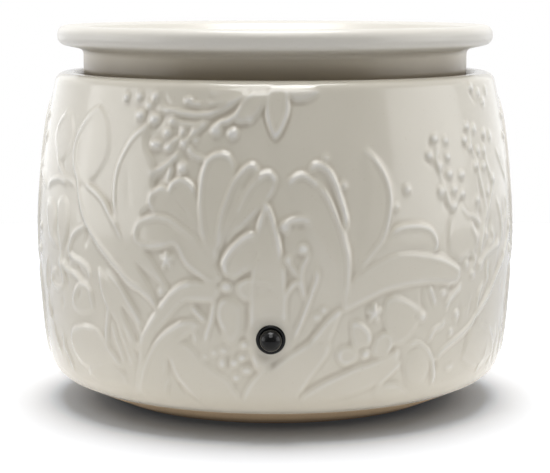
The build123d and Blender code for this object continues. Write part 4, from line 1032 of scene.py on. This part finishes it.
def drill(piece, x, y, height, radius):
    """Round hole through the wall along Y: a cylinder whose middle is at y is cut away."""
    half_length = 15
    profile = np.array([(0, -half_length), (radius, -half_length), (radius, half_length), (0, half_length)])
    cutter = facing_front(turned("cutter", profile, hole_sides), x, y, height)
    cut = piece.modifiers.new("hole", "BOOLEAN")
    cut.operation, cut.solver, cut.object = "DIFFERENCE", "MANIFOLD", cutter
    graph = bpy.context.evaluated_depsgraph_get()
    settled = bpy.data.meshes.new_from_object(
        piece.evaluated_get(graph), preserve_all_data_layers=True, depsgraph=graph
    )
    piece.modifiers.clear()
    piece.data = settled
    bpy.data.objects.remove(cutter)


# Finishes


class Value:
    """A number that a node gives. Sums, products and the like of it add Math nodes."""

    def __init__(self, nodes, socket):
        self.nodes, self.socket = nodes, socket

    def math(self, operation, *terms):
        return self.nodes.node("ShaderNodeMath", {"operation": operation}, dict(enumerate(terms)))

    def __add__(self, other):
        return self.math("ADD", self, other)

    def __sub__(self, other):
        return self.math("SUBTRACT", self, other)

    def __rsub__(self, other):
        return self.math("SUBTRACT", other, self)

    def __mul__(self, other):
        return self.math("MULTIPLY", self, other)

    def __pow__(self, other):
        return self.math("POWER", self, other)

    __radd__, __rmul__ = __add__, __mul__

    def between(self, low, high):
        """0 at low and before it, 1 at high and beyond it, straight between; low may be the larger."""
        sockets = {"Value": self, "From Min": low, "From Max": high}
        return self.nodes.node("ShaderNodeMapRange", {"clamp": True}, sockets)


class Nodes:
    """A node tree that grows by nodes whose first output comes back as a Value."""

    def __init__(self, tree):
        self.tree = tree

    def node(self, kind, settings=None, sockets=None, output=0):
        """New node: its settings first, then its sockets' values or links."""
        node = self.tree.nodes.new(kind)
        for setting, value in (settings or {}).items():
            setattr(node, setting, value)
        for socket, value in (sockets or {}).items():
            self.plug(node.inputs[socket], value)
        return Value(self, node.outputs[output])

    def plug(self, socket, value):
        """Links the socket to a Value, or sets it."""
        if isinstance(value, Value):
            self.tree.links.new(value.socket, socket)
        elif isinstance(value, tuple) and len(value) == 3 and socket.type == "RGBA":
            socket.default_value = (*value, 1)
        else:
            socket.default_value = value

    def mixed(self, share, first, second):
        """Colour that goes from the first to the second with the share."""
        sockets = {"Factor": share, 6: first, 7: second}
        return self.node("ShaderNodeMix", {"data_type": "RGBA"}, sockets, output=2)


class Finish(Nodes):
    """A material and the nodes that make it."""

    def __init__(self, name, **plain):
        self.material = bpy.data.materials.new(name)
        self.material.use_nodes = True
        super().__init__(self.material.node_tree)
        self.shader = self.tree.nodes["Principled BSDF"]
        for socket, value in plain.items():
            self.shader.inputs[socket.replace("_", " ")].default_value = value

    def set(self, **sockets):
        """Plugs values into the shader's sockets."""
        for socket, value in sockets.items():
            self.plug(self.shader.inputs[socket.replace("_", " ")], value)

    def place(self):
        """Object coordinates, in metres."""
        return self.node("ShaderNodeTexCoord", output="Object")

    def coordinate(self, axis):
        """One of the Object coordinates, X, Y or Z, in millimetres."""
        return self.node("ShaderNodeSeparateXYZ", {}, {"Vector": self.place()}, output=axis) * (1 / MM)

    def above(self, level):
        """Millimetres above a level that is measured from the bottom of the foot ring."""
        return self.coordinate("Z") - (level + foot_gap)

    def distance(self, depth_share=1.0):
        """Millimetres from the origin, of which only a share counts along Y."""
        sockets = {0: self.place(), 1: (1.0, depth_share, 1.0)}
        place = self.node("ShaderNodeVectorMath", {"operation": "MULTIPLY"}, sockets)
        length = self.node("ShaderNodeVectorMath", {"operation": "LENGTH"}, {0: place}, output="Value")
        return length * (1 / MM)

    def stored(self, name):
        """The number that each vertex keeps under that name."""
        return self.node("ShaderNodeAttribute", {"attribute_name": name}, output="Fac")

    def noise(self, size, detail, stretch=(1, 1, 1)):
        """Soft noise, 0 to 1, whose patches are about that many millimetres across."""
        sockets = {"Vector": self.place(), "Scale": stretch}
        place = self.node("ShaderNodeMapping", {"vector_type": "POINT"}, sockets)
        sockets = {"Vector": place, "Scale": 1 / (size * MM), "Detail": detail}
        return self.node("ShaderNodeTexNoise", {}, sockets)

    def bumped(self, height, depth, normal=None):
        """Normal tilted by a height of 0 to 1 that stands for so many millimetres."""
        sockets = {"Height": height, "Distance": depth * MM, "Strength": 1.0}
        if normal:
            sockets["Normal"] = normal
        return self.node("ShaderNodeBump", {}, sockets, output="Normal")


def linear(red, green, blue):
    """Linear colour of sRGB numbers 0 to 255."""
    share = np.array([red, green, blue]) / 255
    curved = ((share + 0.055) / 1.055) ** 2.4
    return tuple(float(v) for v in np.where(share <= 0.04045, share / 12.92, curved))


def darker(colour, share):
    """The colour with each of its numbers taken down to a share."""
    return tuple(c * share for c in colour)


def glaze(name, low, high, **gloss):
    """What both glazes share: the finish, its ground in cloudy patches between two creams, its roughness,
    and the normal of its orange-peel surface."""
    finish = Finish(name, **gloss)
    ground = finish.mixed(finish.noise(26.0, 2.0), linear(*low), linear(*high))
    roughness = 0.16 + 0.10 * finish.noise(7.0, 2.0)
    peel = finish.bumped(finish.noise(2.6, 1.0), 0.012)
    return finish, ground, roughness, peel


def specked(finish, colour):
    """The colour with fine faint brown specks."""
    speckle = finish.noise(0.9, 1.0).between(0.70, 0.78)
    return finish.mixed(speckle * 0.10, colour, linear(176, 158, 126))


def body_glaze(name):
    """Cream glaze over the relief: paler on raised edges and warmer and darker in hollows, partly from thin
    and pooled glaze and partly as painted highlight and painted shade. Below its edge the bare clay shows,
    with painted contact shade that darkens it towards the table."""
    coat = 0.6
    gloss = {"Coat_Weight": coat, "Coat_Roughness": 0.06, "Specular_IOR_Level": 0.5}
    finish, ground, roughness, peel = glaze(name, (209, 203, 188), (215, 209, 195), **gloss)
    rise = finish.stored("rise")
    # partly thin glaze, partly a painted highlight: raised places turn paler
    colour = finish.mixed(rise.between(0.03, 0.30), ground, linear(226, 223, 216))
    # partly pooled glaze, partly painted shade: hollows turn warmer and darker
    colour = finish.mixed(rise.between(-0.03, -0.22) * 0.62, colour, linear(174, 163, 144))
    glazed = finish.stored("glazed").between(0.3, 0.7)
    grain = finish.noise(0.5, 4.0)
    clay = finish.mixed(grain, linear(148, 127, 101), linear(178, 156, 127))
    # painted contact shade: the bare clay darkens within 2.6 mm of the table
    contact_shade = finish.above(0).between(2.6, 0.2)
    clay = finish.mixed(0.8 * contact_shade, clay, linear(66, 47, 32))
    finish.set(
        Base_Color=finish.mixed(glazed, clay, specked(finish, colour)),
        Roughness=glazed * roughness + (1 - glazed) * 0.85,
        Coat_Weight=glazed * coat,
        Normal=finish.bumped(grain * (1 - glazed), 0.10, peel),
    )
    return finish.material


def dish_glaze(name):
    """Paler cream glaze, with painted shade on the outside of the neck: deeper in tone round it, and most so
    on its lower part.
    """
    gloss = {"Coat_Weight": 0.3, "Coat_Roughness": 0.2, "Specular_IOR_Level": 0.35}
    finish, ground, roughness, peel = glaze(name, (219, 215, 205), (224, 220, 212), **gloss)
    above = finish.above(plate_top)
    neck = finish.stored("outside") * above.between(22.2, 19.2) * above.between(5.0, 10.0)
    # painted shade round the neck, under the rim
    colour = finish.mixed(neck, ground, linear(196, 187, 169))
    # painted shade, darker still, on the neck's lower part
    colour = finish.mixed(neck * above.between(18.7, 13.2), colour, linear(150, 135, 112))
    finish.set(
        Base_Color=specked(finish, colour),
        Roughness=roughness + 0.10 + 0.10 * neck,
        Normal=peel,
    )
    return finish.material


def metal(name, colour, roughness, grain_size, stretch=(1, 1, 1)):
    """Metal whose brightness and roughness vary with a grain, stretched where it is drawn or brushed."""
    finish = Finish(name, Metallic=1.0)
    grain = finish.noise(grain_size, 4.0, stretch)
    broad = finish.noise(grain_size * 12, 2.0)
    finish.set(
        Base_Color=finish.mixed(grain * 0.6 + broad * 0.4, darker(colour, 0.78), colour),
        Roughness=roughness * (0.75 + 0.5 * grain),
        Normal=finish.bumped(grain, 0.02),
    )
    return finish.material


def moulded(name, colour, roughness, texture_depth=0.02, tint=0.85, mirror=0.5):
    """Plastic or rubber: a slightly uneven colour, down to its tint, and a fine moulded texture, so many
    millimetres deep. Mirror is how much it reflects head on."""
    finish = Finish(name, Specular_IOR_Level=mirror)
    grain = finish.noise(0.5, 3.0)
    broad = finish.noise(6.0, 2.0)
    finish.set(
        Base_Color=finish.mixed(broad, darker(colour, tint), colour),
        Roughness=roughness * (0.9 + 0.2 * grain),
        Normal=finish.bumped(grain, texture_depth),
    )
    return finish.material


def turned_metal(name, colour, roughness):
    """Spun aluminium: fine rings round Z, from noise over the distance from the axis and the height."""
    finish = Finish(name, Metallic=1.0)
    x, y, z = (finish.coordinate(axis) for axis in "XYZ")
    sockets = {"X": (x * x + y * y) ** 0.5 * 9.0, "Y": 0.0, "Z": z * 0.9}
    place = finish.node("ShaderNodeCombineXYZ", {}, sockets)
    rings = finish.node("ShaderNodeTexNoise", {}, {"Vector": place, "Scale": 1.0, "Detail": 3.0})
    stain = finish.noise(14.0, 3.0)
    finish.set(
        Base_Color=finish.mixed(rings * 0.55 + stain * 0.45, darker(colour, 0.72), colour),
        Roughness=roughness * (0.8 + 0.4 * rings),
        Normal=finish.bumped(rings, 0.015),
    )
    return finish.material


def mica_sheet(name):
    """Mica: flaky silvery tan, in flat cells that differ in shade, gloss and height."""
    finish = Finish(name)
    sockets = {"Vector": finish.place(), "Scale": 420.0}
    flakes = finish.node("ShaderNodeTexVoronoi", {"feature": "F1"}, sockets, output="Color")
    shade = finish.node("ShaderNodeSeparateColor", {}, {"Color": flakes})
    finish.set(
        Base_Color=finish.mixed(shade, linear(150, 132, 98), linear(206, 190, 156)),
        Roughness=0.2 + 0.35 * shade,
        Normal=finish.bumped(shade, 0.03),
    )
    return finish.material


# The pieces


def glazed_dish():
    """The dish, turned. Its glaze reads one number of each vertex: outside, 1 up to the rim's top."""
    profile = rounded(
        [
            (0, 0, 0),
            (neck_radius, 0, 16.0),
            (neck_radius, neck_height, 1.6),
            (rim_radius, rim_underside, rim_round),
            (rim_radius, dish_height, rim_round),
            (54.2, dish_height, 0.4),
            (51.7, 25.9, 1.2),
            (basin_radius, 20.6, 3.0),
            (basin_radius, basin_floor, 12.2),
            (0, basin_floor, 0),
        ]
    )
    piece = turned("glazed_dish", profile + (0, plate_top), dish_columns)
    # the middles below and above come last
    rings = profile[1:-1]
    outside = np.repeat(np.arange(len(rings)) < rings[:, 1].argmax(), dish_columns)
    store(piece, "outside", np.append(outside, [1, 0]))
    return piece


def button_dome():
    """The button's cap: a round dome on a short skirt, and the plunger behind it."""
    profile = rounded(
        [
            (0, -plunger_length, 0),
            (plunger_radius, -plunger_length, 0.2),
            (plunger_radius, -cap_skirt, 0),
            (cap_radius, -cap_skirt, 0.2),
            # a hair under the radius, so that a run is left on top
            (cap_radius, cap_top, cap_radius - 0.0001),
            (0, cap_top, 0),
        ],
        4.0,
    )
    piece = turned("button_dome", profile, button_columns)
    return facing_front(piece, button_x, -side_radius(button_height), button_height)


def button_ring():
    """The collar round the cap: a flange before the wall and a barrel through it."""
    profile = rounded(
        [
            (collar_bore_radius, -9.6, 0),
            (collar_barrel_radius, -9.6, 0),
            (collar_barrel_radius, -0.4, 0),
            (collar_flange_radius, -0.4, 0),
            (collar_flange_radius, 0.6, 0.35),
            (collar_bore_radius, 0.6, 0.12),
            (collar_bore_radius, -9.6, 0),
        ]
    )
    piece = turned("button_ring", profile[:-1], button_columns, closed=True)
    return facing_front(piece, button_x, -side_radius(button_height), button_height)


finishes = {
    name: make(name, *looks)
    for name, make, *looks in (
        ("body_glaze", body_glaze),
        ("dish_glaze", dish_glaze),
        ("plate_metal", turned_metal, (0.72, 0.72, 0.73), 0.34),
        ("silicone", moulded, linear(150, 62, 44), 0.55),
        ("mica", mica_sheet),
        ("heater_foil", metal, (0.50, 0.47, 0.43), 0.30, 0.6, (1, 8, 1)),
        ("zinc_steel", metal, (0.64, 0.65, 0.67), 0.32, 1.6),
        ("fuse_case", metal, (0.78, 0.74, 0.64), 0.28, 1.0),
        ("base_paint", moulded, linear(196, 192, 182), 0.48, 0.05, 0.93),
        ("foot_rubber", moulded, linear(48, 47, 46), 0.75, 0.05),
        ("black_gloss", moulded, linear(9, 9, 9), 0.07, 0.002, 0.9, 0.25),
        ("black_matte", moulded, linear(44, 44, 45), 0.52),
        ("spring_steel", metal, (0.70, 0.70, 0.69), 0.22, 0.5),
        ("brass", metal, (0.76, 0.58, 0.27), 0.30, 1.2),
        ("sleeve_vinyl", moulded, linear(222, 218, 206), 0.38),
        ("ivory_nylon", moulded, linear(224, 219, 203), 0.42, 0.03, 0.94),
        ("lead_brown", moulded, linear(104, 66, 44), 0.45),
        ("lead_white", moulded, linear(226, 225, 220), 0.45),
        ("lead_blue", moulded, linear(62, 104, 168), 0.45),
    )
}

for piece, where, slot, node in (
    (carved_body(), "root", "body_glaze", "body_shell"),
    (glazed_dish(), "dish", "dish_glaze", "wax_dish"),
    (button_dome(), "button", "black_gloss", "button_cap"),
    (button_ring(), "root", "black_gloss", "button_bezel"),
):
    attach(piece, where)
    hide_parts(node)
    piece.data.materials.clear()
    piece.data.materials.append(finishes[slot])

slot_of = {part["node"]: part["material_slot"] for part in frame["record"]["subparts"]}
for node, piece in frame["nodes"].items():
    if not piece.material_slots:
        piece.data.materials.append(finishes[slot_of[node]])
    for place in piece.material_slots:
        place.material = finishes[slot_of[node]]

# Floor, light and camera


def floor():
    """Round pale floor, with painted shade: its colour turns darker and bluish right round the object. Near
    the object it lights it a little from below, as a lit table does. For the camera it turns white in an
    ellipse round the object, which is painted light that sets where the object's shadow fades, and meets the
    white behind."""
    radius, count = 380.0, 128
    angles = np.arange(count) * 2 * math.pi / count
    rings = ring_points(np.array([[radius], [radius / 2]]), -foot_gap, angles)
    points = np.append(rings, [[0, 0, -foot_gap]], axis=0)
    inner = fan(2 * count, np.arange(count, 2 * count), upward=True)
    piece = fill_mesh("floor", points, ring_quads(2, count), inner)

    finish = Finish("floor_paint", Roughness=1.0, Specular_IOR_Level=0.0, Emission_Strength=1.0)
    pale = finish.mixed(finish.noise(40.0, 2.0), linear(242, 243, 246), linear(246, 247, 250))
    away = finish.distance()
    # light from below: weak right under the foot, strongest round it and gone further out
    under = finish.mixed(away.between(40, 54), (0.08, 0.07, 0.06), (0.39, 0.37, 0.34))
    glow = finish.mixed(away.between(68, 118), under, (0.0, 0.0, 0.0))
    # painted light for the camera: a faint lift in the shadow's core, rising to white in an ellipse round
    # the object, narrower across than deep, so it sets where the shadow fades
    open_share = finish.distance(0.86).between(46, 72)
    open_white = finish.mixed(open_share, (0.018, 0.018, 0.018), (0.25, 0.25, 0.25))
    seen = finish.node("ShaderNodeLightPath", output="Is Camera Ray")
    # painted shade: the floor's colour turns darker and bluish within 63 mm of the axis, under the object
    finish.set(
        Base_Color=finish.mixed(away.between(46, 63), linear(196, 214, 240), pale),
        Emission_Color=finish.mixed(seen, glow, open_white),
    )
    piece.data.materials.append(finish.material)
    return piece


def sun(name, tilt, angle, level):
    """Broad distant lamp, tilted from straight above toward the front; level 1 turns a white floor white."""
    light = bpy.data.lights.new(name, "SUN")
    light.angle, light.energy = math.radians(angle), level * math.pi
    piece = added(name, light)
    piece.rotation_euler = (math.radians(tilt), 0, 0)
    return piece


def panel(name, azimuth, spread, top, distance, radiance):
    """Upright soft panel that stands on the floor and faces the object: azimuth from the front toward +X
    and the angle that it spans, in degrees; its top and its distance in metres; its brightness, 1 is
    white."""
    light = bpy.data.lights.new(name, "AREA")
    light.shape = "RECTANGLE"
    light.size = 2 * distance * math.tan(math.radians(spread / 2))
    light.size_y = top
    light.energy = radiance * math.pi * light.size * light.size_y
    piece = added(name, light)
    turn = math.radians(azimuth)
    piece.location = (distance * math.sin(turn), -distance * math.cos(turn), top / 2)
    piece.rotation_euler = (math.pi / 2, 0, turn)
    return piece


def studio(ground):
    """White tent that is open at the front: broad light from above, a soft panel at each side of the back
    and, kept off the floor, a high light from the front and a panel at each side. There is a little light
    from all round, and white wherever the camera or a reflection looks past the object, but reflections
    find the open front darker."""
    sun("overhead", tilt=-5, angle=38, level=0.85)
    panel("right_back", azimuth=128, spread=50, top=0.40, distance=0.70, radiance=0.42)
    panel("left_back", azimuth=-128, spread=60, top=0.40, distance=0.70, radiance=0.48)
    kept_off = [
        sun("front_light", tilt=32, angle=36, level=0.35),
        panel("right_panel", azimuth=79, spread=46, top=0.38, distance=0.62, radiance=1.46),
        panel("left_panel", azimuth=-82, spread=46, top=0.31, distance=0.60, radiance=1.52),
    ]
    flagged = bpy.data.collections.new("flagged")
    flagged.objects.link(ground)
    flagged.collection_objects[0].light_linking.link_state = "EXCLUDE"
    for lamp in kept_off:
        lamp.light_linking.receiver_collection = flagged

    world = bpy.data.worlds.new("tent")
    bpy.context.scene.world = world
    world.use_nodes = True
    nodes = Nodes(world.node_tree)
    background = world.node_tree.nodes["Background"]
    kinds = ("Is Camera Ray", "Is Transmission Ray", "Is Glossy Ray")
    seen, through, mirrored = (nodes.node("ShaderNodeLightPath", output=kind) for kind in kinds)
    way = nodes.node("ShaderNodeTexCoord", output="Generated")
    back = nodes.node("ShaderNodeSeparateXYZ", {}, {"Vector": way}, output="Y").between(-0.75, -0.1)
    shown = seen + through + mirrored * (0.25 + 0.75 * back)
    nodes.plug(background.inputs["Strength"], 0.07 + 0.93 * shown.between(0.0, 1.0))
    background.inputs["Color"].default_value = (1, 1, 1, 1)


def camera():
    """The photograph's camera."""
    lens = bpy.data.cameras.new("camera")
    lens.sensor_width = sensor_width
    lens.lens = focal_pixels * sensor_width / picture_width
    lens.clip_start, lens.clip_end = 0.01, 20.0
    piece = added("camera", lens)
    piece.location = (0, -camera_distance * MM, (camera_height + foot_gap) * MM)
    piece.rotation_euler = (math.pi / 2 - camera_pitch, 0, 0)
    bpy.context.scene.camera = piece


studio(floor())
camera()
bpy.context.scene.view_settings.view_transform = "Standard"
